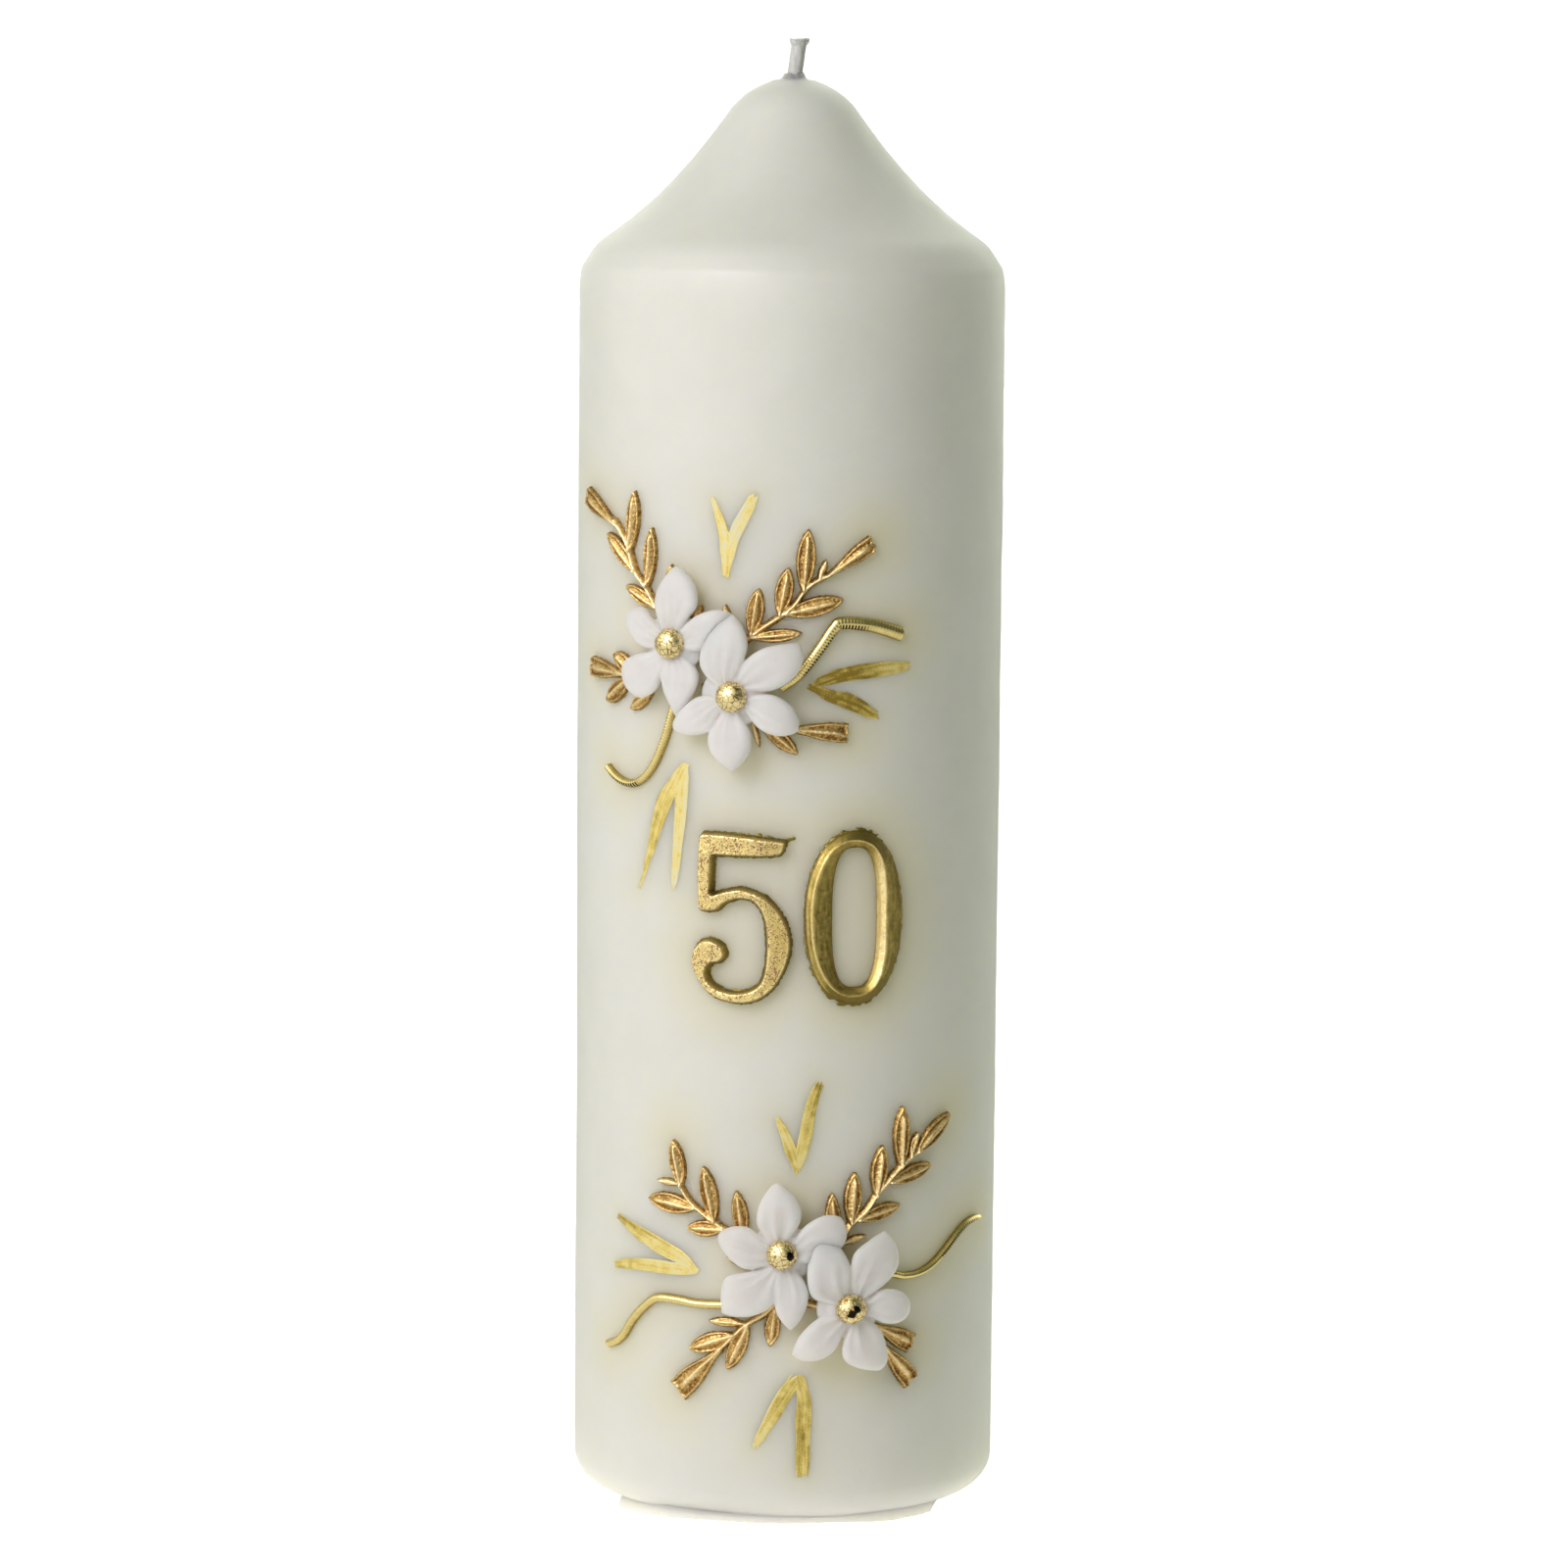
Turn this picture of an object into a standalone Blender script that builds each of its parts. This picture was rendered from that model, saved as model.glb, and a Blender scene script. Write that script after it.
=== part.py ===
"""Pillar candle for a golden anniversary, modelled as the separate pieces it is made of.

The candle stands on the plane z = 0 and its axis is the Z axis. Its front faces -Y. The wax trim is drawn
flat, in millimetres, as (across, up, relief): across is the distance round the wax from the front line,
up is the height above the table, and relief is the height above the wax. wrap_relief then bends each
finished piece round the candle.
"""
import math

import bmesh
import bpy
from mathutils import Matrix, Vector

MM = 0.001

# Driving dimensions, in millimetres
WAX_RADIUS = 35.0
WAX_TOP = 235.2
FIT_GAP = 0.3

FOOT_THICKNESS = 1.4
FOOT_RADIUS = 30.6
FOOT_OFFSET_X = -0.5
FOOT_CORNERS = 40
FOOT_EDGE_BEVEL = 0.4
# The foot's edge swells in and out: (millimetres, waves round the candle, phase in radians)
FOOT_WAVES = [(0.35, 2, 1.6), (0.3, 5, 0.6), (0.2, 9, 0.0)]

COAT_THICKNESS = 1.2
COAT_MOUTH_RADIUS = 27.0
COAT_BOTTOM = FOOT_THICKNESS + FIT_GAP

BASE_ROUND = 5.0
SIDE_TOP = 201.0
SHOULDER_ROUND = 10.0
SHOULDER_TURN = math.radians(56.0)
NOSE_ROUND = 13.0
NOSE_TURN = math.radians(55.0)
HEAD_CURVE_REACH = 9.5
NOSE_ARC_STEPS = 4
HEAD_CURVE_STEPS = 5
SHOULDER_ARC_STEPS = 3
BASE_ARC_STEPS = 3
TURN_STEPS = 36

WICK_RADIUS = 1.2
WICK_HOLE_RADIUS = WICK_RADIUS + FIT_GAP
WICK_BOTTOM = COAT_BOTTOM + FIT_GAP
WICK_BORE_MIDDLE = 120.0
WICK_STRAIGHT_TOP = 233.8
WICK_LEAN_START = 234.8
WICK_TIP = 241.5
WICK_LEAN = math.radians(7.6)
# The leaning end: (share of its height, share of the wick's radius)
WICK_END = [(0.15, 1.0), (0.45, 1.0), (0.8, 1.0), (1.0, 1.25)]
WICK_SIDES_LEVEL = 2

TAB_RADIUS = 10.0
TAB_THICKNESS = 0.4
TAB_NECK_RADIUS = 1.9
TAB_NECK_TOP = COAT_BOTTOM + 4.6
TAB_TURN_STEPS = 28

BRUSH_BASE = 0.3
BRUSH_HEIGHT = 0.3
# The second stroke of a mark is laid a little thinner, so the two tops don't lie in one plane.
SECOND_STROKE_HEIGHT = 0.255
STRIP_BASE = 0.3
STRIP_HEIGHT = 0.9
LEAF_BASE = 0.3
LEAF_HEIGHT = 1.3
LEAF_FULL_WIDTH = 2.4
LEAF_BELLY = 0.5
LEAF_FACETS = 6
STEM_HEIGHT = 1.1
STEM_ROOT_WIDTH = 1.5
STEM_END_WIDTH = 1.0
FLOWER_BASE = 1.9
PETAL_HEIGHT = 2.3
PETAL_BELLY = 0.58
PETAL_SIDES = 8
PETAL_RINGS = 7
FLOWER_HUB_RADIUS = 2.7
FLOWER_HUB_DEPTH = 1.0
FLOWER_HUB_TOP = 3.3
SEAT_RADIUS = 2.1
SEAT_BASE = 0.3
# How far the seat reaches up into its flower.
SEAT_JOIN = 0.6
# A front flower, grown by this much, cuts the flower behind it.
FLOWER_GAP = 0.5
BEAD_RADIUS = 2.1
BEAD_SIDES = 14
BEAD_RINGS = 8
NUMERAL_BASE = 0.3
NUMERAL_THICKNESS = 1.6
NUMERAL_BEVEL = 0.35
NUMERAL_CURVE_STEPS = 3

# The back is cut a hair above the mid-plane, which keeps the cut clear of the pads' own edges.
BACK_TRIM = 0.04
WELD_DISTANCE = 0.003
# Widest flat band the wrapped pieces are cut into, and where the first and last cuts are made
SLICE_WIDTH = 3.5
SLICE_START = -56.3
SLICE_END = 57.0

# Colours of the materials: base colour, roughness, metallic
WAX_WHITE = ((0.86, 0.85, 0.78), 0.38, 0.0)
CORE_WHITE = ((0.88, 0.87, 0.82), 0.55, 0.0)
COTTON = ((0.88, 0.87, 0.83), 0.8, 0.0)
TINPLATE = ((0.62, 0.62, 0.60), 0.3, 1.0)
FLOWER_WHITE = ((0.86, 0.83, 0.85), 0.45, 0.0)
LEAF_GOLD = ((0.62, 0.38, 0.13), 0.38, 1.0)
NUMERAL_GOLD = ((0.60, 0.42, 0.15), 0.42, 1.0)
MIRROR_GOLD = ((0.83, 0.62, 0.22), 0.15, 1.0)
BRUSH_GOLD = ((0.75, 0.60, 0.15), 0.40, 0.8)

# Leaf: (base, tip, width). Stem: points from root to end. All (across, up).
SPRIGS = {
    "upper_sprig_up_left": {
        "stem": [(-16.2, 142.4), (-18.2, 145.6), (-21.5, 148.3), (-24.2, 150.4), (-26.6, 153.6),
                 (-29.0, 156.1), (-30.9, 160.4), (-34.1, 163.9)],
        "leaves": [((-33.4, 163.2), (-43.7, 167.4), 3.3), ((-30.3, 158.6), (-29.3, 169.0), 3.0),
                   ((-26.3, 153.2), (-25.6, 163.3), 2.8), ((-28.6, 155.6), (-36.2, 161.9), 3.0),
                   ((-24.0, 150.2), (-31.2, 153.7), 2.6), ((-22.2, 148.6), (-21.6, 157.6), 2.6),
                   ((-18.6, 145.6), (-16.1, 151.2), 2.2)],
    },
    "upper_sprig_up_right": {
        "stem": [(-12.5, 143.6), (-8.3, 146.1), (-5.4, 148.3), (-3.0, 149.9), (-1.0, 151.6), (0.4, 153.6),
                 (1.9, 155.1), (4.8, 156.6)],
        "leaves": [((4.0, 156.1), (12.0, 161.6), 3.0), ((0.4, 153.4), (1.2, 163.7), 3.2),
                   ((2.7, 155.2), (4.1, 159.0), 1.3), ((-3.4, 149.5), (-1.9, 157.6), 3.0),
                   ((-7.9, 146.2), (-6.6, 154.2), 3.0), ((-2.8, 150.0), (6.9, 152.5), 3.2),
                   ((-8.3, 146.2), (0.4, 147.1), 2.2), ((-11.9, 143.8), (-12.0, 151.5), 2.4)],
    },
    "upper_sprig_down_left": {
        "stem": [(-22.0, 139.2), (-26.0, 138.7), (-32.0, 139.2)],
        "leaves": [((-31.0, 139.1), (-42.1, 139.9), 3.3), ((-29.2, 139.1), (-34.4, 142.6), 2.6),
                   ((-29.8, 138.9), (-36.2, 134.5), 3.0), ((-25.2, 138.8), (-29.7, 134.0), 2.6)],
    },
    "upper_sprig_down_right": {
        "stem": [(-15.4, 138.2), (-10.0, 134.5), (-5.5, 132.7), (-1.5, 131.6)],
        "leaves": [((-2.4, 131.8), (7.8, 131.0), 3.3), ((-6.4, 133.0), (-0.2, 127.7), 2.6),
                   ((-7.6, 133.6), (-6.3, 128.7), 1.0)],
    },
    "lower_sprig_up_left": {
        "stem": [(-5.5, 43.6), (-6.9, 46.8), (-8.6, 48.8), (-12.2, 50.7), (-14.6, 52.2), (-17.5, 54.5),
                 (-19.4, 57.2)],
        "leaves": [((-18.9, 56.2), (-20.7, 64.2), 3.0), ((-18.9, 57.0), (-23.9, 57.2), 1.3),
                   ((-16.1, 53.2), (-25.4, 54.2), 3.4), ((-11.2, 50.2), (-18.0, 50.0), 2.8),
                   ((-13.0, 50.9), (-15.2, 60.3), 3.2), ((-8.2, 48.4), (-9.5, 56.6), 2.8),
                   ((-5.6, 43.9), (-11.2, 45.7), 1.6)],
    },
    "lower_sprig_up_right": {
        "stem": [(5.2, 45.2), (7.3, 47.7), (8.7, 50.7), (11.6, 53.2), (13.5, 55.7), (16.4, 58.7),
                 (18.8, 60.7), (21.2, 62.2)],
        "leaves": [((20.5, 61.7), (28.3, 67.8), 3.0), ((19.5, 61.0), (21.2, 65.4), 1.6),
                   ((17.8, 59.5), (18.2, 69.9), 3.2), ((13.3, 55.0), (14.5, 63.8), 3.1),
                   ((9.0, 50.7), (9.7, 59.7), 3.1), ((6.4, 46.6), (5.9, 56.4), 2.8),
                   ((15.4, 57.4), (24.1, 59.8), 2.9), ((9.9, 51.6), (17.9, 53.8), 2.7),
                   ((7.2, 48.0), (11.8, 49.2), 1.3)],
    },
    "lower_sprig_down_left": {
        "stem": [(-2.5, 38.6), (-4.9, 36.5), (-7.8, 34.7), (-10.3, 32.2), (-12.7, 29.7)],
        "leaves": [((-11.9, 30.5), (-19.5, 22.8), 4.0), ((-7.6, 34.9), (-14.1, 35.0), 1.7),
                   ((-9.4, 33.1), (-17.5, 30.0), 3.2), ((-7.3, 35.0), (-10.9, 27.1), 3.0),
                   ((-3.1, 37.9), (-3.9, 31.2), 2.6)],
    },
    "lower_sprig_down_right": {
        "stem": [(10.5, 36.5), (13.2, 34.0), (14.6, 30.8)],
        "leaves": [((12.8, 34.4), (20.5, 30.4), 3.5), ((14.2, 31.4), (20.5, 24.3), 3.6)],
    },
}

# Flower: centre, the spot where it is stuck on the wax, and (tip, width) of each petal.
FLOWERS = {
    "upper_rear_flower": {
        "centre": (-19.9, 145.1),
        "seat": (-24.2, 143.8),
        "petals": [((-20.7, 157.2), 7.6), ((-29.4, 150.0), 6.0), ((-30.4, 138.4), 8.0),
                   ((-19.4, 132.7), 6.2), ((-11.7, 150.6), 6.5)],
    },
    "upper_front_flower": {
        "centre": (-10.0, 137.1),
        "seat": (-8.8, 138.6),
        "petals": [((-11.0, 150.8), 7.2), ((-0.4, 145.8), 7.5), ((-0.4, 132.2), 7.2),
                   ((-10.5, 125.9), 6.8), ((-20.3, 132.7), 6.5)],
    },
    "lower_rear_flower": {
        "centre": (-2.1, 46.9),
        "seat": (-0.8, 45.8),
        "petals": [((-2.9, 58.1), 6.4), ((-12.1, 50.4), 6.0), ((-11.4, 37.4), 7.4),
                   ((-0.6, 34.0), 5.8), ((6.8, 52.4), 6.5)],
    },
    "lower_front_flower": {
        "centre": (8.1, 38.0),
        "seat": (6.8, 38.8),
        "petals": [((4.0, 49.4), 5.6), ((14.5, 49.9), 8.0), ((19.0, 37.5), 6.4),
                   ((11.2, 27.5), 8.0), ((-0.1, 30.7), 7.0)],
    },
}
BEADS = {
    "upper_rear_bead": "upper_rear_flower",
    "upper_front_bead": "upper_front_flower",
    "lower_rear_bead": "lower_rear_flower",
    "lower_front_bead": "lower_front_flower",
}
OVERLAPPING_FLOWERS = {
    "upper_rear_flower": "upper_front_flower",
    "lower_rear_flower": "lower_front_flower",
}

# Half-round wax strip: points (across, up) and the width at its first and last point.
STRIPS = {
    "upper_strip_left": ([(-20.9, 135.2), (-21.4, 133.4), (-22.6, 129.6), (-24.5, 125.6), (-26.5, 123.1),
                          (-28.9, 121.7), (-31.3, 121.6), (-33.7, 122.4), (-35.9, 123.7)], 1.5, 1.3),
    "upper_strip_right": ([(-3.0, 138.2), (0.0, 140.6), (3.1, 144.6), (5.4, 147.9), (6.8, 148.7),
                           (11.8, 148.2), (16.9, 146.7)], 1.5, 2.4),
    "lower_strip_left": ([(-9.0, 37.9), (-15.7, 37.6), (-19.7, 37.9), (-23.6, 37.7), (-26.5, 35.7),
                          (-28.9, 33.2), (-30.8, 30.7), (-32.8, 29.2), (-34.9, 28.4)], 1.5, 1.5),
    "lower_strip_right": ([(13.2, 41.6), (16.2, 42.4), (18.6, 41.9), (21.5, 42.0), (24.4, 43.0),
                           (27.3, 44.9), (30.2, 47.0), (33.1, 48.5), (35.9, 49.0), (37.7, 48.9)], 1.3, 1.1),
}

# Brush mark: two strokes from a shared apex, each a list of (across, up, width).
BRUSH_MARKS = {
    "upper_brush_top": [
        [(-12.4, 156.3, 1.0), (-13.4, 161.0, 1.2), (-14.9, 167.9, 1.7)],
        [(-12.3, 156.6, 0.8), (-10.8, 161.0, 1.4), (-7.5, 168.0, 1.8)],
    ],
    "upper_brush_right": [
        [(2.0, 138.5, 1.0), (5.0, 140.1, 1.6), (10.0, 141.8, 1.7), (15.0, 142.2, 1.6), (18.6, 141.2, 0.8)],
        [(2.3, 138.4, 0.8), (5.0, 137.7, 1.8), (9.0, 136.4, 2.4), (13.2, 134.4, 1.8)],
    ],
    "upper_brush_bottom": [
        [(-19.5, 124.8, 1.6), (-21.6, 122.4, 2.6), (-24.0, 118.5, 3.0), (-25.5, 115.0, 2.2),
         (-26.8, 110.5, 1.2), (-28.2, 104.8, 0.5)],
        [(-19.1, 125.2, 1.4), (-19.2, 121.5, 2.0), (-19.6, 118.0, 2.3), (-20.3, 113.5, 2.2),
         (-21.2, 106.0, 1.0)],
    ],
    "lower_brush_top": [
        [(0.3, 60.4, 1.2), (1.5, 64.5, 1.7), (2.6, 69.5, 1.6), (3.5, 73.8, 1.0)],
        [(0.4, 60.9, 0.9), (-0.8, 63.4, 1.4), (-2.7, 67.8, 1.1)],
    ],
    "lower_brush_left": [
        [(-17.4, 43.5, 1.6), (-21.0, 45.5, 2.8), (-26.0, 47.7, 2.3), (-30.0, 49.0, 1.9), (-33.4, 50.0, 1.2)],
        [(-17.8, 43.4, 1.3), (-21.0, 42.8, 2.4), (-25.0, 42.9, 1.9), (-30.0, 42.2, 1.4), (-33.8, 41.7, 1.0)],
    ],
    "lower_brush_bottom": [
        [(0.2, 25.2, 1.6), (-1.6, 22.8, 2.4), (-3.6, 19.4, 1.8), (-6.2, 15.2, 1.0)],
        [(0.2, 24.7, 1.5), (1.3, 21.5, 2.5), (1.7, 16.5, 2.5), (1.5, 11.4, 2.2)],
    ],
}

# Numeral outlines, (across, up). True marks a sharp corner and False a smooth point.
FIVE_OUTLINE = [
    (-16.1, 114.2, False), (-15.0, 114.9, False), (-8.0, 114.6, False), (-1.7, 113.9, True),
    (-2.1, 112.1, False), (-3.2, 111.1, False), (-13.4, 110.9, True), (-13.6, 105.1, True),
    (-11.0, 105.9, False), (-8.5, 106.1, False), (-4.6, 104.5, False), (-1.7, 100.7, False),
    (-0.9, 96.3, False), (-2.9, 90.7, False), (-6.0, 87.8, False), (-9.6, 87.1, False),
    (-13.9, 88.3, False), (-16.7, 91.8, False), (-17.2, 94.8, False), (-15.9, 97.1, False),
    (-13.9, 97.7, False), (-11.7, 96.6, False), (-11.3, 94.9, False), (-12.3, 93.7, False),
    (-13.8, 93.2, False), (-14.2, 91.6, False), (-12.6, 89.9, False), (-9.2, 89.3, False),
    (-6.3, 90.6, False), (-5.3, 94.0, False), (-5.4, 100.2, False), (-6.9, 103.4, False),
    (-9.3, 104.0, False), (-11.7, 103.1, False), (-12.9, 102.1, False), (-15.4, 101.9, False),
    (-16.2, 102.8, False),
]
ZERO_CENTRE = (9.3, 101.2)
ZERO_OUTER = (8.3, 14.1)
ZERO_INNER = (3.8, 11.3)
ZERO_POINTS = 12


def clear_scene():
    """Remove whatever the scene holds, so that the script starts empty."""
    for obj in list(bpy.data.objects):
        bpy.data.objects.remove(obj, do_unlink=True)


def new_collection(name):
    collection = bpy.data.collections.new(name)
    bpy.context.scene.collection.children.link(collection)
    return collection


def new_material(name, look):
    colour, roughness, metallic = look
    material = bpy.data.materials.new(name)
    material.use_nodes = True
    shader = material.node_tree.nodes["Principled BSDF"]
    shader.inputs["Base Color"].default_value = (*colour, 1.0)
    shader.inputs["Roughness"].default_value = roughness
    shader.inputs["Metallic"].default_value = metallic
    return material


def add_object(name, mesh, collection, look=None):
    """Link a mesh as a named object with its own material."""
    obj = bpy.data.objects.new(name, mesh)
    collection.objects.link(obj)
    if look is not None:
        mesh.materials.clear()
        mesh.materials.append(new_material(name, look))
    return obj


def mesh_from_bmesh(name, bm):
    mesh = bpy.data.meshes.new(name)
    bm.to_mesh(mesh)
    bm.free()
    return mesh


def evaluated_mesh(obj):
    """The object's mesh with its modifiers applied."""
    bpy.context.view_layer.update()
    depsgraph = bpy.context.evaluated_depsgraph_get()
    return bpy.data.meshes.new_from_object(obj.evaluated_get(depsgraph), depsgraph=depsgraph)


# Turned pieces

def arc(centre, radius, start, end, steps):
    """Points of an arc round centre; angles are measured up from the horizontal."""
    points = []
    for step in range(steps + 1):
        angle = start + (end - start) * step / steps
        points.append((centre[0] + radius * math.cos(angle), centre[1] + radius * math.sin(angle)))
    return points


def head_curve(start, end, inset):
    """The hollow sweep between the nose and the shoulder, set in by inset along its normal."""
    leave = Vector((math.cos(NOSE_TURN), -math.sin(NOSE_TURN)))
    arrive = Vector((math.sin(SHOULDER_TURN), -math.cos(SHOULDER_TURN)))
    handles = [Vector(start), Vector(start) + leave * HEAD_CURVE_REACH,
               Vector(end) - arrive * HEAD_CURVE_REACH, Vector(end)]
    points = []
    for step in range(1, HEAD_CURVE_STEPS):
        t = step / HEAD_CURVE_STEPS
        s = 1.0 - t
        place = (handles[0] * s ** 3 + handles[1] * (3 * s * s * t)
                 + handles[2] * (3 * s * t * t) + handles[3] * t ** 3)
        slope = ((handles[1] - handles[0]) * (s * s) + (handles[2] - handles[1]) * (2 * s * t)
                 + (handles[3] - handles[2]) * (t * t)).normalized()
        inward = Vector((slope.y, -slope.x))
        place += inward * inset
        points.append((place.x, place.y))
    return points


def wax_outline(inset):
    """Half outline of the candle from the wick hole down to the base, set in by inset."""
    nose_centre = (0.0, WAX_TOP - NOSE_ROUND)
    nose_radius = NOSE_ROUND - inset
    hole_angle = math.acos(WICK_HOLE_RADIUS / nose_radius)
    outline = arc(nose_centre, nose_radius, hole_angle, math.pi / 2 - NOSE_TURN, NOSE_ARC_STEPS)
    nose_end = (NOSE_ROUND * math.sin(NOSE_TURN), nose_centre[1] + NOSE_ROUND * math.cos(NOSE_TURN))
    shoulder_centre = (WAX_RADIUS - SHOULDER_ROUND, SIDE_TOP)
    shoulder_start = (shoulder_centre[0] + SHOULDER_ROUND * math.cos(SHOULDER_TURN),
                      shoulder_centre[1] + SHOULDER_ROUND * math.sin(SHOULDER_TURN))
    outline += head_curve(nose_end, shoulder_start, inset)
    outline += arc(shoulder_centre, SHOULDER_ROUND - inset, SHOULDER_TURN, 0.0, SHOULDER_ARC_STEPS)
    base_centre = (WAX_RADIUS - BASE_ROUND, COAT_BOTTOM + BASE_ROUND)
    outline += arc(base_centre, BASE_ROUND - inset, 0.0, -math.pi / 2, BASE_ARC_STEPS)
    return outline


def turned_mesh(name, outline, closed):
    """A profile of edges in the XZ plane, ready for the Screw modifier."""
    bm = bmesh.new()
    verts = [bm.verts.new((radius * MM, 0.0, height * MM)) for radius, height in outline]
    for first, second in zip(verts, verts[1:]):
        bm.edges.new((first, second))
    if closed:
        bm.edges.new((verts[-1], verts[0]))
    return mesh_from_bmesh(name, bm)


def add_screw(obj, steps):
    screw = obj.modifiers.new("Turn", "SCREW")
    screw.axis = "Z"
    screw.angle = 2 * math.pi
    screw.steps = steps
    screw.render_steps = steps
    screw.use_merge_vertices = True
    screw.merge_threshold = 0.00001
    screw.use_smooth_shade = True


def add_wax_coat(parts):
    """The dipped shell: an open turned surface, thickened inwards."""
    outline = wax_outline(0.0)
    outline.append((COAT_MOUTH_RADIUS, COAT_BOTTOM))
    coat = add_object("wax_coat", turned_mesh("wax_coat", outline, closed=False), parts, WAX_WHITE)
    add_screw(coat, TURN_STEPS)
    shell = coat.modifiers.new("Shell", "SOLIDIFY")
    shell.thickness = COAT_THICKNESS * MM
    shell.offset = -1.0
    shell.use_even_offset = True


def add_candle_core(parts):
    """The pressed core: it fills the shell, with a wick bore and a recess for the tab."""
    outline = wax_outline(COAT_THICKNESS + FIT_GAP)
    plug_radius = COAT_MOUTH_RADIUS - FIT_GAP
    recess_radius = TAB_RADIUS + FIT_GAP
    recess_top = WICK_BOTTOM + TAB_THICKNESS + FIT_GAP
    outline += [
        (plug_radius, COAT_BOTTOM + COAT_THICKNESS + FIT_GAP),
        (plug_radius, COAT_BOTTOM),
        (recess_radius, COAT_BOTTOM),
        (recess_radius, recess_top),
        (TAB_NECK_RADIUS + FIT_GAP, recess_top),
        (TAB_NECK_RADIUS + FIT_GAP, TAB_NECK_TOP + FIT_GAP),
        (WICK_HOLE_RADIUS, TAB_NECK_TOP + FIT_GAP),
    ]
    core = add_object("candle_core", turned_mesh("candle_core", outline, closed=True), parts, CORE_WHITE)
    add_screw(core, TURN_STEPS)


def add_wick_sustainer(parts):
    """The tinplate tab at the foot of the wick: a flat disc with a crimped neck."""
    tab_top = WICK_BOTTOM + TAB_THICKNESS
    outline = [
        (WICK_HOLE_RADIUS, TAB_NECK_TOP), (TAB_NECK_RADIUS, TAB_NECK_TOP), (TAB_NECK_RADIUS, tab_top),
        (TAB_RADIUS, tab_top), (TAB_RADIUS, WICK_BOTTOM), (WICK_HOLE_RADIUS, WICK_BOTTOM),
    ]
    mesh = turned_mesh("wick_sustainer", outline, closed=True)
    tab = add_object("wick_sustainer", mesh, parts, TINPLATE)
    add_screw(tab, TAB_TURN_STEPS)


def add_base_foot(parts):
    """The levelled wax under the base: a thin disc with an uneven edge."""
    bm = bmesh.new()
    bmesh.ops.create_cone(bm, cap_ends=True, segments=FOOT_CORNERS, radius1=FOOT_RADIUS,
                          radius2=FOOT_RADIUS, depth=FOOT_THICKNESS)
    for vert in bm.verts:
        angle = math.atan2(vert.co.y, vert.co.x)
        wave = sum(size * math.sin(count * angle + phase) for size, count, phase in FOOT_WAVES)
        spread = 1.0 + wave / FOOT_RADIUS
        vert.co.x = (vert.co.x * spread + FOOT_OFFSET_X) * MM
        vert.co.y = vert.co.y * spread * MM
        vert.co.z = (vert.co.z + FOOT_THICKNESS / 2) * MM
    foot = add_object("base_foot", mesh_from_bmesh("base_foot", bm), parts, WAX_WHITE)
    edge = foot.modifiers.new("Edge", "BEVEL")
    edge.width = FOOT_EDGE_BEVEL * MM
    edge.segments = 1
    edge.limit_method = "ANGLE"


# Curves made into meshes

def curve_mesh(name, points, radii, sides_level):
    """A capped round tube along points, with a radius at each point, as a closed mesh."""
    curve = bpy.data.curves.new(name, "CURVE")
    curve.dimensions = "3D"
    curve.bevel_depth = 1.0
    curve.bevel_resolution = sides_level
    curve.use_fill_caps = True
    spline = curve.splines.new("POLY")
    spline.points.add(len(points) - 1)
    for spline_point, place, radius in zip(spline.points, points, radii):
        spline_point.co = (*place, 1.0)
        spline_point.radius = radius
    holder = bpy.data.objects.new(name, curve)
    bpy.context.scene.collection.objects.link(holder)
    mesh = evaluated_mesh(holder)
    bpy.data.objects.remove(holder, do_unlink=True)
    bm = bmesh.new()
    bm.from_mesh(mesh)
    bmesh.ops.remove_doubles(bm, verts=bm.verts, dist=0.00001)
    bmesh.ops.recalc_face_normals(bm, faces=bm.faces)
    bm.to_mesh(mesh)
    bm.free()
    return mesh


def add_wick(parts):
    """The wick: straight up the bore, then leaning, with a slightly flared cut end."""
    lean_height = WICK_TIP - WICK_LEAN_START
    places = [(0.0, WICK_BOTTOM), (0.0, WICK_BORE_MIDDLE), (0.0, WICK_STRAIGHT_TOP)]
    radii = [WICK_RADIUS, WICK_RADIUS, WICK_RADIUS]
    for height_share, radius_share in WICK_END:
        rise = height_share * lean_height
        places.append((rise * math.tan(WICK_LEAN), WICK_LEAN_START + rise))
        radii.append(WICK_RADIUS * radius_share)
    points = [(across * MM, 0.0, height * MM) for across, height in places]
    mesh = curve_mesh("wick", points, [radius * MM for radius in radii], WICK_SIDES_LEVEL)
    add_object("wick", mesh, parts, COTTON)


# Relief pieces, drawn flat in millimetres and then wrapped round the wax

def lens_mesh(base, tip, width, height, belly, sides, rings):
    """A pad from base to tip, pointed at both ends and widest at the belly fraction of its length."""
    start = Vector((*base, 0.0))
    along = Vector((*tip, 0.0)) - start
    turn = Matrix.Rotation(math.atan2(along.y, along.x), 3, "Z")
    power = math.log(0.5) / math.log(belly)
    bm = bmesh.new()
    half_side = Matrix.Rotation(math.pi / sides, 4, "Z")
    bmesh.ops.create_uvsphere(bm, u_segments=sides, v_segments=rings, radius=1.0, matrix=half_side)
    for vert in bm.verts:
        reach = (vert.co.z + 1.0) / 2.0
        ring = math.hypot(vert.co.x, vert.co.y)
        swell = math.sin(math.pi * min(reach, 1.0) ** power) ** 0.8 if 0.0 < reach < 1.0 else 0.0
        scale = swell / ring if ring > 1e-6 else 0.0
        flat = Vector((reach * along.length, vert.co.x * scale * width / 2, vert.co.y * scale * height))
        vert.co = start + turn @ flat
    return mesh_from_bmesh("lens", bm)


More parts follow.
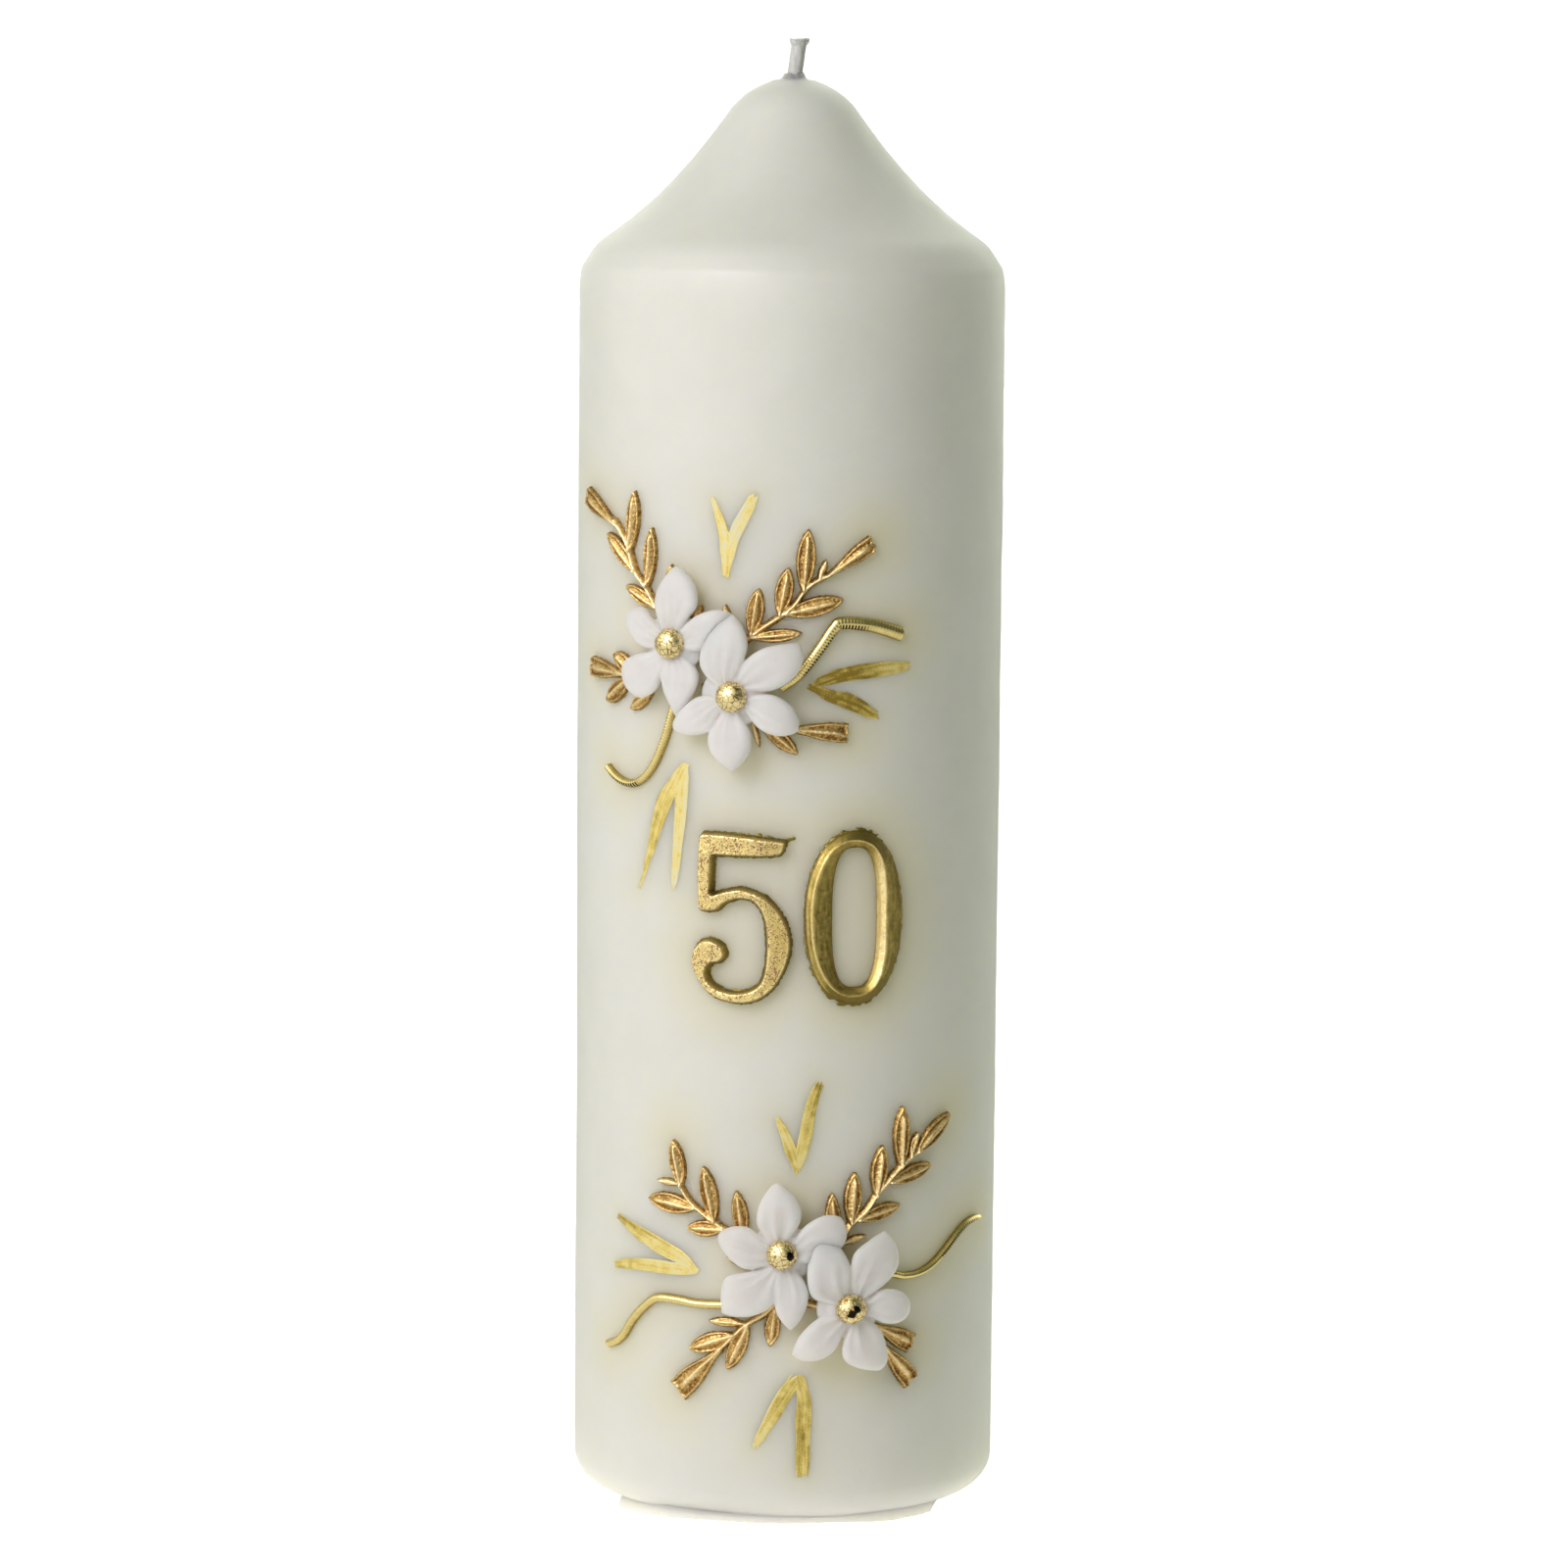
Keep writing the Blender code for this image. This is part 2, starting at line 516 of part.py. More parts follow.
def disc_mesh(centre, radius, low, high, sides=20):
    """An upright cylinder on the flat sheet, from relief low to relief high."""
    bm = bmesh.new()
    place = Matrix.Translation((*centre, (low + high) / 2))
    bmesh.ops.create_cone(bm, cap_ends=True, segments=sides, radius1=radius, radius2=radius,
                          depth=high - low, matrix=place)
    return mesh_from_bmesh("disc", bm)


def stroke_mesh(points, widths, height, sides_level):
    """A stroke along points with a lens-shaped section, a width at each point and one height."""
    places = [(across, up, 0.0) for across, up in points]
    mesh = curve_mesh("stroke", places, [width / 2 for width in widths], sides_level)
    widest = max(widths) / 2
    for vert in mesh.vertices:
        vert.co.z *= height / widest
    return mesh


def combine(meshes, operation, cutters):
    """Apply one exact Boolean of the first mesh with all the others, and return the result."""
    body = add_object("body", meshes[0], cutters)
    tools = []
    for mesh in meshes[1:]:
        tool = add_object("tool", mesh, cutters)
        tool.hide_render = True
        tool.display_type = "WIRE"
        tools.append(tool)
        boolean = body.modifiers.new("Join", "BOOLEAN")
        boolean.operation = operation
        boolean.solver = "EXACT"
        boolean.object = tool
    result = evaluated_mesh(body)
    for obj in [body, *tools]:
        bpy.data.objects.remove(obj, do_unlink=True)
    return result


def keep_largest_body(bm):
    """Delete the loose scraps a cut can leave: all but the body with the most corners."""
    bm.verts.ensure_lookup_table()
    bodies = []
    unseen = set(bm.verts)
    while unseen:
        frontier = [unseen.pop()]
        body = set(frontier)
        while frontier:
            vert = frontier.pop()
            for edge in vert.link_edges:
                other = edge.other_vert(vert)
                if other in unseen:
                    unseen.discard(other)
                    body.add(other)
                    frontier.append(other)
        bodies.append(body)
    largest = max(bodies, key=len)
    scraps = [vert for vert in bm.verts if vert not in largest]
    bmesh.ops.delete(bm, geom=scraps, context="VERTS")


def wrap_relief(name, mesh, parts, look):
    """Slice the flat piece into narrow upright bands and bend it round the wax."""
    bm = bmesh.new()
    bm.from_mesh(mesh)
    bmesh.ops.remove_doubles(bm, verts=bm.verts, dist=WELD_DISTANCE)
    bmesh.ops.dissolve_degenerate(bm, edges=bm.edges, dist=WELD_DISTANCE)
    keep_largest_body(bm)
    bmesh.ops.triangulate(bm, faces=bm.faces)
    place = SLICE_START
    while place < SLICE_END:
        geometry = [*bm.verts, *bm.edges, *bm.faces]
        bmesh.ops.bisect_plane(bm, geom=geometry, dist=WELD_DISTANCE, plane_co=(place, 0.0, 0.0),
                               plane_no=(1.0, 0.0, 0.0))
        place += SLICE_WIDTH
    for vert in bm.verts:
        angle = vert.co.x / WAX_RADIUS
        radius = (WAX_RADIUS + vert.co.z) * MM
        vert.co = (radius * math.sin(angle), -radius * math.cos(angle), vert.co.y * MM)
    bmesh.ops.triangulate(bm, faces=bm.faces)
    wrapped = mesh_from_bmesh(name, bm)
    wrapped.shade_smooth()
    wrapped.set_sharp_from_angle(angle=math.radians(40.0))
    return add_object(name, wrapped, parts, look)


def flat_backed(meshes, base, cutters):
    """Join full pads, cut away everything below their mid-plane and lift the piece to its base relief."""
    joined = combine(meshes, "UNION", cutters) if len(meshes) > 1 else meshes[0]
    bm = bmesh.new()
    bm.from_mesh(joined)
    bmesh.ops.remove_doubles(bm, verts=bm.verts, dist=WELD_DISTANCE)
    bmesh.ops.bisect_plane(bm, geom=[*bm.verts, *bm.edges, *bm.faces], dist=WELD_DISTANCE / 2,
                           plane_co=(0.0, 0.0, BACK_TRIM), plane_no=(0.0, 0.0, 1.0), clear_inner=True)
    rim = [edge for edge in bm.edges if edge.is_boundary]
    bmesh.ops.triangle_fill(bm, edges=rim, use_beauty=True, normal=(0.0, 0.0, -1.0))
    bmesh.ops.recalc_face_normals(bm, faces=bm.faces)
    bmesh.ops.translate(bm, verts=bm.verts, vec=(0.0, 0.0, base - BACK_TRIM))
    bm.to_mesh(joined)
    bm.free()
    return joined


def add_sprig(name, sprig, parts, cutters):
    """One sprig: a tapering stem with lens-shaped leaves joined to it."""
    stem = sprig["stem"]
    last = len(stem) - 1
    taper = (STEM_ROOT_WIDTH - STEM_END_WIDTH) / last
    widths = [STEM_ROOT_WIDTH - taper * index for index in range(len(stem))]
    meshes = [stroke_mesh(stem, widths, STEM_HEIGHT, 1)]
    for base, tip, width in sprig["leaves"]:
        height = LEAF_HEIGHT * min(1.0, 0.4 + 0.6 * width / LEAF_FULL_WIDTH)
        meshes.append(lens_mesh(base, tip, width, height, LEAF_BELLY, LEAF_FACETS, LEAF_FACETS))
    wrap_relief(name, flat_backed(meshes, LEAF_BASE, cutters), parts, LEAF_GOLD)


def swell(mesh, distance):
    """Move every vertex of a mesh outwards along its normal."""
    bm = bmesh.new()
    bm.from_mesh(mesh)
    bm.normal_update()
    outward = [vert.normal.copy() for vert in bm.verts]
    for vert, normal in zip(bm.verts, outward):
        vert.co += normal * distance
    bm.to_mesh(mesh)
    bm.free()
    return mesh


def flower_pads(flower):
    """The hub and the five full petal pads of a flower, about the sheet's zero relief."""
    centre = flower["centre"]
    pads = [disc_mesh(centre, FLOWER_HUB_RADIUS, -FLOWER_HUB_DEPTH, FLOWER_HUB_TOP - FLOWER_BASE)]
    for tip, width in flower["petals"]:
        pads.append(lens_mesh(centre, tip, width, PETAL_HEIGHT, PETAL_BELLY, PETAL_SIDES, PETAL_RINGS))
    return pads


def flower_seat(flower):
    """The dot of wax that sticks a flower to the candle."""
    return disc_mesh(flower["seat"], SEAT_RADIUS, SEAT_BASE, FLOWER_BASE + SEAT_JOIN)


def add_flowers(parts, cutters):
    """Five puffed petals round a hub; a flower behind is cut back where the one in front covers it."""
    for name, flower in FLOWERS.items():
        petals = flat_backed(flower_pads(flower), FLOWER_BASE, cutters)
        mesh = combine([petals, flower_seat(flower)], "UNION", cutters)
        if name in OVERLAPPING_FLOWERS:
            front = FLOWERS[OVERLAPPING_FLOWERS[name]]
            covers = flower_pads(front)
            for cover in covers:
                cover.transform(Matrix.Translation((0.0, 0.0, FLOWER_BASE)))
            covers.append(flower_seat(front))
            mesh = combine([mesh, *[swell(cover, FLOWER_GAP) for cover in covers]], "DIFFERENCE", cutters)
        wrap_relief(name, mesh, parts, FLOWER_WHITE)


def add_beads(parts, cutters):
    """Half beads that sit on the flower hubs."""
    for name, flower_name in BEADS.items():
        bm = bmesh.new()
        place = Matrix.Translation((*FLOWERS[flower_name]["centre"], 0.0))
        bmesh.ops.create_uvsphere(bm, u_segments=BEAD_SIDES, v_segments=BEAD_RINGS, radius=BEAD_RADIUS,
                                  matrix=place)
        ball = mesh_from_bmesh(name, bm)
        half = flat_backed([ball], FLOWER_HUB_TOP + FIT_GAP, cutters)
        wrap_relief(name, half, parts, MIRROR_GOLD)


def add_strips(parts, cutters):
    for name, (points, first_width, last_width) in STRIPS.items():
        last = len(points) - 1
        widths = [first_width + (last_width - first_width) * index / last for index in range(len(points))]
        mesh = stroke_mesh(points, widths, STRIP_HEIGHT, 1)
        wrap_relief(name, flat_backed([mesh], STRIP_BASE, cutters), parts, MIRROR_GOLD)


def add_brush_marks(parts, cutters):
    for name, strokes in BRUSH_MARKS.items():
        meshes = []
        for stroke, height in zip(strokes, (BRUSH_HEIGHT, SECOND_STROKE_HEIGHT)):
            points = [(across, up) for across, up, width in stroke]
            widths = [width for across, up, width in stroke]
            meshes.append(stroke_mesh(points, widths, height, 0))
        wrap_relief(name, flat_backed(meshes, BRUSH_BASE, cutters), parts, BRUSH_GOLD)


def outline_spline(curve, outline):
    """A closed Bezier outline; each point is (across, up, sharp)."""
    spline = curve.splines.new("BEZIER")
    spline.use_cyclic_u = True
    spline.resolution_u = NUMERAL_CURVE_STEPS
    spline.bezier_points.add(len(outline) - 1)
    for point, (across, up, sharp) in zip(spline.bezier_points, outline):
        point.co = (across, up, 0.0)
        kind = "VECTOR" if sharp else "AUTO"
        point.handle_left_type = kind
        point.handle_right_type = kind


def ellipse_outline(centre, semi_axes, count):
    points = []
    for step in range(count):
        angle = 2 * math.pi * step / count
        across = centre[0] + semi_axes[0] * math.cos(angle)
        points.append((across, centre[1] + semi_axes[1] * math.sin(angle), False))
    return points


def add_numeral(name, outlines, parts, cutters):
    """A moulded numeral: a flat outline, extruded, with bevelled face edges and a flat back."""
    curve = bpy.data.curves.new(name, "CURVE")
    curve.dimensions = "2D"
    curve.fill_mode = "BOTH"
    for outline in outlines:
        outline_spline(curve, outline)
    curve.extrude = NUMERAL_THICKNESS - NUMERAL_BEVEL
    curve.bevel_depth = NUMERAL_BEVEL
    curve.bevel_resolution = 0
    curve.offset = -NUMERAL_BEVEL
    holder = bpy.data.objects.new(name, curve)
    bpy.context.scene.collection.objects.link(holder)
    mesh = evaluated_mesh(holder)
    bpy.data.objects.remove(holder, do_unlink=True)
    bm = bmesh.new()
    bm.from_mesh(mesh)
    bmesh.ops.remove_doubles(bm, verts=bm.verts, dist=WELD_DISTANCE)
    bmesh.ops.recalc_face_normals(bm, faces=bm.faces)
    bm.to_mesh(mesh)
    bm.free()
    wrap_relief(name, flat_backed([mesh], NUMERAL_BASE, cutters), parts, NUMERAL_GOLD)


def main():
    clear_scene()
    parts = new_collection("anniversary_candle")
    cutters = new_collection("cutters")
    add_candle_core(parts)
    add_wax_coat(parts)
    add_base_foot(parts)
    add_wick(parts)
    add_wick_sustainer(parts)
    for name, sprig in SPRIGS.items():
        add_sprig(name, sprig, parts, cutters)
    add_flowers(parts, cutters)
    add_beads(parts, cutters)
    add_strips(parts, cutters)
    add_brush_marks(parts, cutters)
    add_numeral("numeral_five", [FIVE_OUTLINE], parts, cutters)
    zero = [ellipse_outline(ZERO_CENTRE, ZERO_OUTER, ZERO_POINTS),
            ellipse_outline(ZERO_CENTRE, ZERO_INNER, ZERO_POINTS)]
    add_numeral("numeral_zero", zero, parts, cutters)


main()
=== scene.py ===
"""Looks of the golden anniversary candle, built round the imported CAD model.

The wax trim is worked out flat, in millimetres, as (across, up, relief): across is the distance round the
wax from the front line, up is the height above the table and relief is the height above the wax. wrap()
then bends it round the candle, which stands on z = 0 with its axis on Z and its front towards -Y.
"""
import math

import bmesh
import bpy
import numpy as np
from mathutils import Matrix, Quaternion, Vector, noise as blender_noise


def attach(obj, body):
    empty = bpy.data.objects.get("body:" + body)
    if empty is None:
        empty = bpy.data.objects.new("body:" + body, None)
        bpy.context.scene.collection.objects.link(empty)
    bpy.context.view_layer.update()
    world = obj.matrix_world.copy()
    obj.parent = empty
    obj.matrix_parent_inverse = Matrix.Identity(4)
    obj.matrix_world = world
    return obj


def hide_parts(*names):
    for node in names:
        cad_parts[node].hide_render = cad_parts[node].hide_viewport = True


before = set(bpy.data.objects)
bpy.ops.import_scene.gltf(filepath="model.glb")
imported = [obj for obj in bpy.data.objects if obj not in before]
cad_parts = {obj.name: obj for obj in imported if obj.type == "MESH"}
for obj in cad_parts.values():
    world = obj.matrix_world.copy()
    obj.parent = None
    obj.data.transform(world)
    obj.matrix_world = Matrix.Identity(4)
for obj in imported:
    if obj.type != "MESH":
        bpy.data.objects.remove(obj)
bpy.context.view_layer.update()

MM = 0.001
WAX_IOR = 1.44

# The candle, in millimetres, as the CAD model has it
WAX_RADIUS = 35.0
WAX_TOP = 235.2
WAX_BOTTOM = 1.7
BASE_ROUND = 5.0
SIDE_TOP = 201.0
SHOULDER_ROUND = 10.0
SHOULDER_TURN = math.radians(56.0)
NOSE_ROUND = 13.0
NOSE_TURN = math.radians(55.0)
HEAD_CURVE_REACH = 9.5
# The lip under the head with the groove over it, and the rings of wax round the wick:
# (height or radius, how far it stands proud, width)
LIP = [(204.2, 0.14, 0.9), (206.4, -0.10, 1.4)]
CROWN = [(3.4, 0.16, 0.5), (1.3, 1.05, 0.55)]
WICK_RADIUS = 1.2
WICK_BOTTOM = 2.0
WICK_LEAN_START = 234.8
WICK_TIP = 241.5
WICK_LEAN = math.radians(7.6)
WICK_FINE_FROM = 232.0
PLAIT_TURN = 2.6
WAX_SIDES = 216
WICK_SIDES = 48
WICK_FIBRES = 16
FIBRE_THICKNESS = 0.13
FOOT_SHOWN_RADIUS = 31.4
FOOT_HIDDEN_RADIUS = 27.4
FOOT_OFFSET_X = -0.5
FOOT_TOP = 2.9
FOOT_TORN_TOP = 2.95
FOOT_SIDES = 360
# In radians round from the front, where the foot shows and where it is lifted: begins, full, fades, ends
FOOT_SHOWN = (-1.15, -1.06, 0.88, 0.93)
FOOT_LIFTED = (-0.95, -0.25, 0.15, 0.65)
# Under the foot: (share of its radius, share of the lift off the table)
FOOT_UNDERSIDE = [(0.5, 0.0), (0.85, 0.0), (0.92, 0.3), (0.97, 0.75)]
# Up the outside of the foot: (how far it flares out, height)
FOOT_WALL = [(0.0, 0.12), (0.22, 0.6), (0.50, 1.1), (0.80, 1.6), (1.10, 2.05), (1.38, 2.45), (1.60, 2.75),
             (1.78, 3.0)]
PETAL_LEVEL = 2.7
FRONT_FLOWER_LIFT = 0.7
BEAD_LEVEL = 3.5
BEAD_RADIUS = 2.28
BEAD_STRETCH = 1.08
BEAD_SWEEP = math.radians(105.0)
PLATES_PER_RADIUS = 2.9
PLATE_AXES = [Vector((1.3, 2.1, 3.7)), Vector((2.9, 1.1, 0.7)), Vector((0.3, 3.1, 1.9))]
PLATE_TILT = 0.009
PLATE_SCATTER = 91.7
# Where the gold leaf has come off in plates and shows black: a direction out of the bead's middle
BARE_SPOTS = {"lower_rear_bead": (0.50, -0.15, 0.85), "lower_front_bead": (0.10, -0.05, 0.99)}
BARE_REACH = 0.31

# Leaf: (base, tip, width), and "cut" where it ends in a ragged break. Stem: points from root to end.
SPRIGS = {
    "upper_sprig_up_left": {
        "stem": [(-16.2, 142.4), (-18.2, 145.6), (-21.5, 148.3), (-24.2, 150.4), (-26.6, 153.6),
                 (-29.0, 156.1), (-30.9, 160.4), (-34.1, 163.9)],
        "leaves": [((-33.4, 163.2), (-43.7, 167.4), 3.3, "cut"), ((-30.3, 158.6), (-29.3, 169.0), 3.0),
                   ((-26.3, 153.2), (-25.6, 163.3), 2.8), ((-28.6, 155.6), (-36.2, 161.9), 3.0),
                   ((-24.0, 150.2), (-31.2, 153.7), 2.6), ((-22.2, 148.6), (-21.6, 157.6), 2.6),
                   ((-18.6, 145.6), (-16.1, 151.2), 2.2)],
    },
    "upper_sprig_up_right": {
        "stem": [(-12.5, 143.6), (-8.3, 146.1), (-5.4, 148.3), (-3.0, 149.9), (-1.0, 151.6), (0.4, 153.6),
                 (1.9, 155.1), (4.8, 156.6)],
        "leaves": [((4.0, 156.1), (11.8, 161.5), 2.9, "cut"), ((0.4, 153.4), (1.2, 163.7), 3.2),
                   ((2.7, 155.2), (4.1, 159.0), 1.3), ((-3.4, 149.5), (-1.9, 157.6), 3.0),
                   ((-7.9, 146.2), (-6.6, 154.2), 3.0), ((-2.8, 150.0), (6.9, 152.5), 3.2),
                   ((-8.3, 146.2), (0.4, 147.1), 2.2), ((-11.9, 143.8), (-12.0, 151.5), 2.4)],
    },
    "upper_sprig_down_left": {
        "stem": [(-22.0, 139.2), (-26.0, 138.7), (-32.0, 139.2)],
        "leaves": [((-31.0, 139.1), (-41.8, 139.7), 3.4, "cut"), ((-28.8, 139.4), (-34.4, 142.4), 3.0),
                   ((-29.8, 138.9), (-36.3, 134.4), 3.2), ((-25.0, 137.0), (-30.0, 133.6), 2.4)],
    },
    "upper_sprig_down_right": {
        "stem": [(-15.4, 138.2), (-10.0, 134.5), (-5.5, 132.7), (-1.5, 131.6)],
        "leaves": [((-2.4, 131.8), (7.8, 131.0), 3.2, "cut"), ((-6.4, 133.0), (-0.2, 127.7), 2.6),
                   ((-7.6, 133.6), (-6.3, 128.7), 1.0)],
    },
    "lower_sprig_up_left": {
        "stem": [(-5.5, 43.6), (-6.9, 46.8), (-8.6, 48.8), (-12.2, 50.7), (-14.6, 52.2), (-17.5, 54.5),
                 (-19.4, 57.2)],
        "leaves": [((-18.9, 56.2), (-20.7, 64.2), 3.0), ((-18.9, 57.0), (-23.9, 57.2), 1.3),
                   ((-16.1, 53.2), (-25.4, 54.2), 3.4), ((-11.2, 50.2), (-18.0, 50.0), 2.8),
                   ((-13.0, 50.9), (-15.2, 60.3), 3.2), ((-8.2, 48.4), (-9.5, 56.6), 2.8),
                   ((-5.6, 43.9), (-11.2, 45.7), 1.6)],
    },
    "lower_sprig_up_right": {
        "stem": [(5.2, 45.2), (7.3, 47.7), (8.7, 50.7), (11.6, 53.2), (13.5, 55.7), (16.4, 58.7),
                 (18.8, 60.7), (21.2, 62.2)],
        "leaves": [((20.5, 61.7), (28.3, 67.8), 3.0), ((19.5, 61.0), (21.2, 65.4), 1.6),
                   ((17.8, 59.5), (18.2, 69.9), 3.2), ((13.3, 55.0), (14.5, 63.8), 3.1),
                   ((9.0, 50.7), (9.7, 59.7), 3.1), ((6.4, 46.6), (5.9, 56.4), 2.8),
                   ((15.4, 57.4), (24.1, 59.8), 2.9), ((9.9, 51.6), (17.9, 53.8), 2.7),
                   ((7.2, 48.0), (11.8, 49.2), 1.3)],
    },
    "lower_sprig_down_left": {
        "stem": [(3.9, 37.9), (0.6, 38.6), (-2.5, 38.6), (-4.9, 36.5), (-7.8, 34.7), (-10.3, 32.2),
                 (-12.7, 29.7)],
        "leaves": [((-11.9, 30.5), (-19.5, 22.8), 4.0, "cut"), ((-7.6, 34.9), (-14.1, 35.0), 1.7),
                   ((-9.4, 33.1), (-17.5, 30.0), 3.2), ((-7.3, 35.0), (-10.9, 27.1), 3.0),
                   ((-3.1, 37.9), (-3.9, 31.2), 2.6)],
    },
    "lower_sprig_down_right": {
        "stem": [(10.5, 36.5), (13.2, 34.0), (14.6, 30.8)],
        "leaves": [((12.8, 34.4), (20.5, 30.4), 3.5, "cut"), ((14.2, 31.4), (20.5, 24.3), 3.6, "cut")],
    },
}

# Along a petal, by share of its length: half thickness, and rise of its middle layer
PETAL_THICKNESS = [(0.0, 0.70), (0.2, 0.95), (0.5, 1.30), (0.75, 1.20), (0.92, 0.80), (1.0, 0.30)]
PETAL_RISE = [(0.0, 0.0), (0.25, 0.20), (0.5, 0.45), (0.75, 0.25), (1.0, -0.55)]
# Groove: place across the petal from -1 to 1, and depth
PETAL_GROOVES = [(-0.42, 0.42), (0.02, 0.50), (0.44, 0.42)]
GROOVE_WIDTH = 0.19
# Wax behind the petals: where it sits, radius, lowest and highest relief
FLOWER_HEART = [("centre", 3.6, 1.2, 3.6), ("centre", 5.0, 1.4, 2.9), ("seat", 2.4, -0.8, 3.2)]
FLOWER_VOXEL = 0.17
FLOWER_SMOOTHING = 5

# Flower: centre, seat on the wax, lift over the flower behind, and its petals. A petal is one edge from the
# centre outwards, the tip, and the other edge from the centre outwards.
FLOWERS = {
    "upper_rear_flower": {
        "centre": (-19.9, 145.1), "seat": (-22.0, 143.8), "lift": 0.0,
        "petals": [
            ([(-22.0, 148.3), (-22.7, 151.0), (-22.2, 153.7), (-20.9, 156.1)], (-19.8, 157.5),
             [(-17.9, 148.4), (-15.7, 151.2), (-15.9, 154.2), (-17.6, 156.4)]),
            ([(-22.9, 148.4), (-24.6, 150.4), (-26.7, 150.6), (-28.0, 149.9)], (-28.3, 148.6),
             [(-22.9, 144.2), (-25.0, 144.3), (-27.1, 145.8), (-28.1, 147.4)]),
            ([(-23.0, 143.7), (-25.8, 143.1), (-28.3, 142.0), (-29.3, 140.4)], (-29.3, 139.0),
             [(-21.3, 140.9), (-22.4, 137.6), (-25.4, 136.0), (-28.2, 137.1)]),
            ([(-21.2, 142.0), (-21.5, 139.6), (-21.0, 137.3), (-20.0, 134.9)], (-19.2, 132.8),
             [(-17.6, 142.8), (-15.5, 140.8), (-15.7, 138.2), (-17.3, 135.2)]),
            ([(-17.9, 147.8), (-16.0, 149.6), (-13.5, 150.7), (-11.4, 150.7)], (-10.3, 150.0),
             [(-17.6, 144.4), (-15.2, 144.1), (-12.8, 145.5), (-11.2, 147.6)]),
        ],
    },
    "upper_front_flower": {
        "centre": (-10.0, 137.1), "seat": (-8.8, 138.6), "lift": FRONT_FLOWER_LIFT,
        "petals": [
            ([(-12.6, 138.9), (-14.7, 141.5), (-14.6, 144.8), (-12.9, 148.2)], (-10.2, 150.2),
             [(-10.0, 139.2), (-8.7, 142.0), (-7.7, 145.3), (-8.5, 148.3)]),
            ([(-9.3, 139.9), (-8.0, 143.0), (-5.4, 145.0), (-2.2, 145.7)], (-0.2, 145.8),
             [(-7.6, 138.2), (-4.2, 138.2), (-1.1, 140.2), (0.4, 143.3)]),
            ([(-7.6, 137.2), (-4.3, 137.6), (-1.6, 136.1), (-0.2, 133.6)], (-0.3, 131.7),
             [(-7.8, 134.3), (-6.0, 132.1), (-3.6, 131.0), (-1.5, 131.1)]),
            ([(-11.9, 133.7), (-13.4, 131.0), (-13.2, 128.4), (-11.7, 126.3)], (-10.2, 125.0),
             [(-8.6, 134.0), (-7.2, 131.4), (-7.2, 128.6), (-8.6, 126.3)]),
            ([(-12.3, 136.9), (-15.1, 136.9), (-17.6, 134.9), (-19.2, 132.8)], (-19.5, 131.3),
             [(-12.0, 134.3), (-13.0, 131.7), (-15.4, 130.7), (-18.0, 130.8)]),
        ],
    },
    "lower_rear_flower": {
        "centre": (-2.1, 46.9), "seat": (-0.8, 45.8), "lift": 0.0,
        "petals": [
            ([(-3.9, 48.9), (-5.8, 51.7), (-5.5, 55.0), (-4.2, 57.4)], (-3.0, 58.5),
             [(-1.3, 49.0), (0.6, 52.2), (0.5, 55.2), (-1.4, 57.6)]),
            ([(-4.2, 48.6), (-6.7, 51.0), (-9.2, 51.3), (-11.3, 50.4)], (-12.0, 49.3),
             [(-4.7, 45.0), (-7.3, 44.4), (-9.7, 45.8), (-11.5, 48.0)]),
            ([(-4.0, 44.7), (-7.0, 44.0), (-10.2, 43.1), (-11.2, 40.6)], (-11.3, 36.8),
             [(-3.1, 42.0), (-3.3, 38.8), (-5.8, 36.9), (-9.0, 36.4)]),
            ([(-3.0, 43.2), (-3.2, 40.4), (-2.9, 37.5), (-1.7, 35.3)], (-0.6, 34.3),
             [(0.3, 44.0), (1.8, 41.3), (1.6, 38.2), (0.5, 35.6)]),
            ([(-0.4, 49.0), (1.4, 51.7), (4.3, 53.3), (6.8, 52.8)], (7.7, 51.0),
             [(0.4, 45.8), (2.6, 45.4), (5.6, 46.6), (7.5, 48.9)]),
        ],
    },
    "lower_front_flower": {
        "centre": (8.1, 38.0), "seat": (6.8, 38.8), "lift": FRONT_FLOWER_LIFT,
        "petals": [
            ([(5.6, 38.8), (2.4, 40.0), (1.6, 44.0), (2.5, 48.0)], (4.2, 49.8),
             [(7.8, 40.2), (8.1, 42.5), (7.8, 45.6), (6.4, 48.2)]),
            ([(8.3, 40.6), (8.0, 43.8), (8.6, 47.0), (10.9, 48.8)], (13.8, 50.2),
             [(10.4, 39.6), (13.4, 41.6), (15.5, 44.4), (15.3, 47.9)]),
            ([(10.8, 39.2), (13.0, 40.8), (15.6, 40.5), (17.3, 39.2)], (18.0, 37.7),
             [(11.1, 36.5), (13.2, 35.3), (15.6, 35.1), (17.5, 36.1)]),
            ([(8.3, 35.5), (7.0, 32.4), (7.2, 29.6), (9.6, 28.0)], (12.9, 27.2),
             [(10.9, 36.1), (12.9, 34.0), (13.8, 31.2), (14.0, 28.7)]),
            ([(6.2, 36.9), (3.3, 36.5), (0.8, 34.0), (-0.2, 31.7)], (-0.5, 30.4),
             [(7.2, 34.5), (5.6, 31.2), (3.3, 29.7), (1.0, 29.6)]),
        ],
    },
}

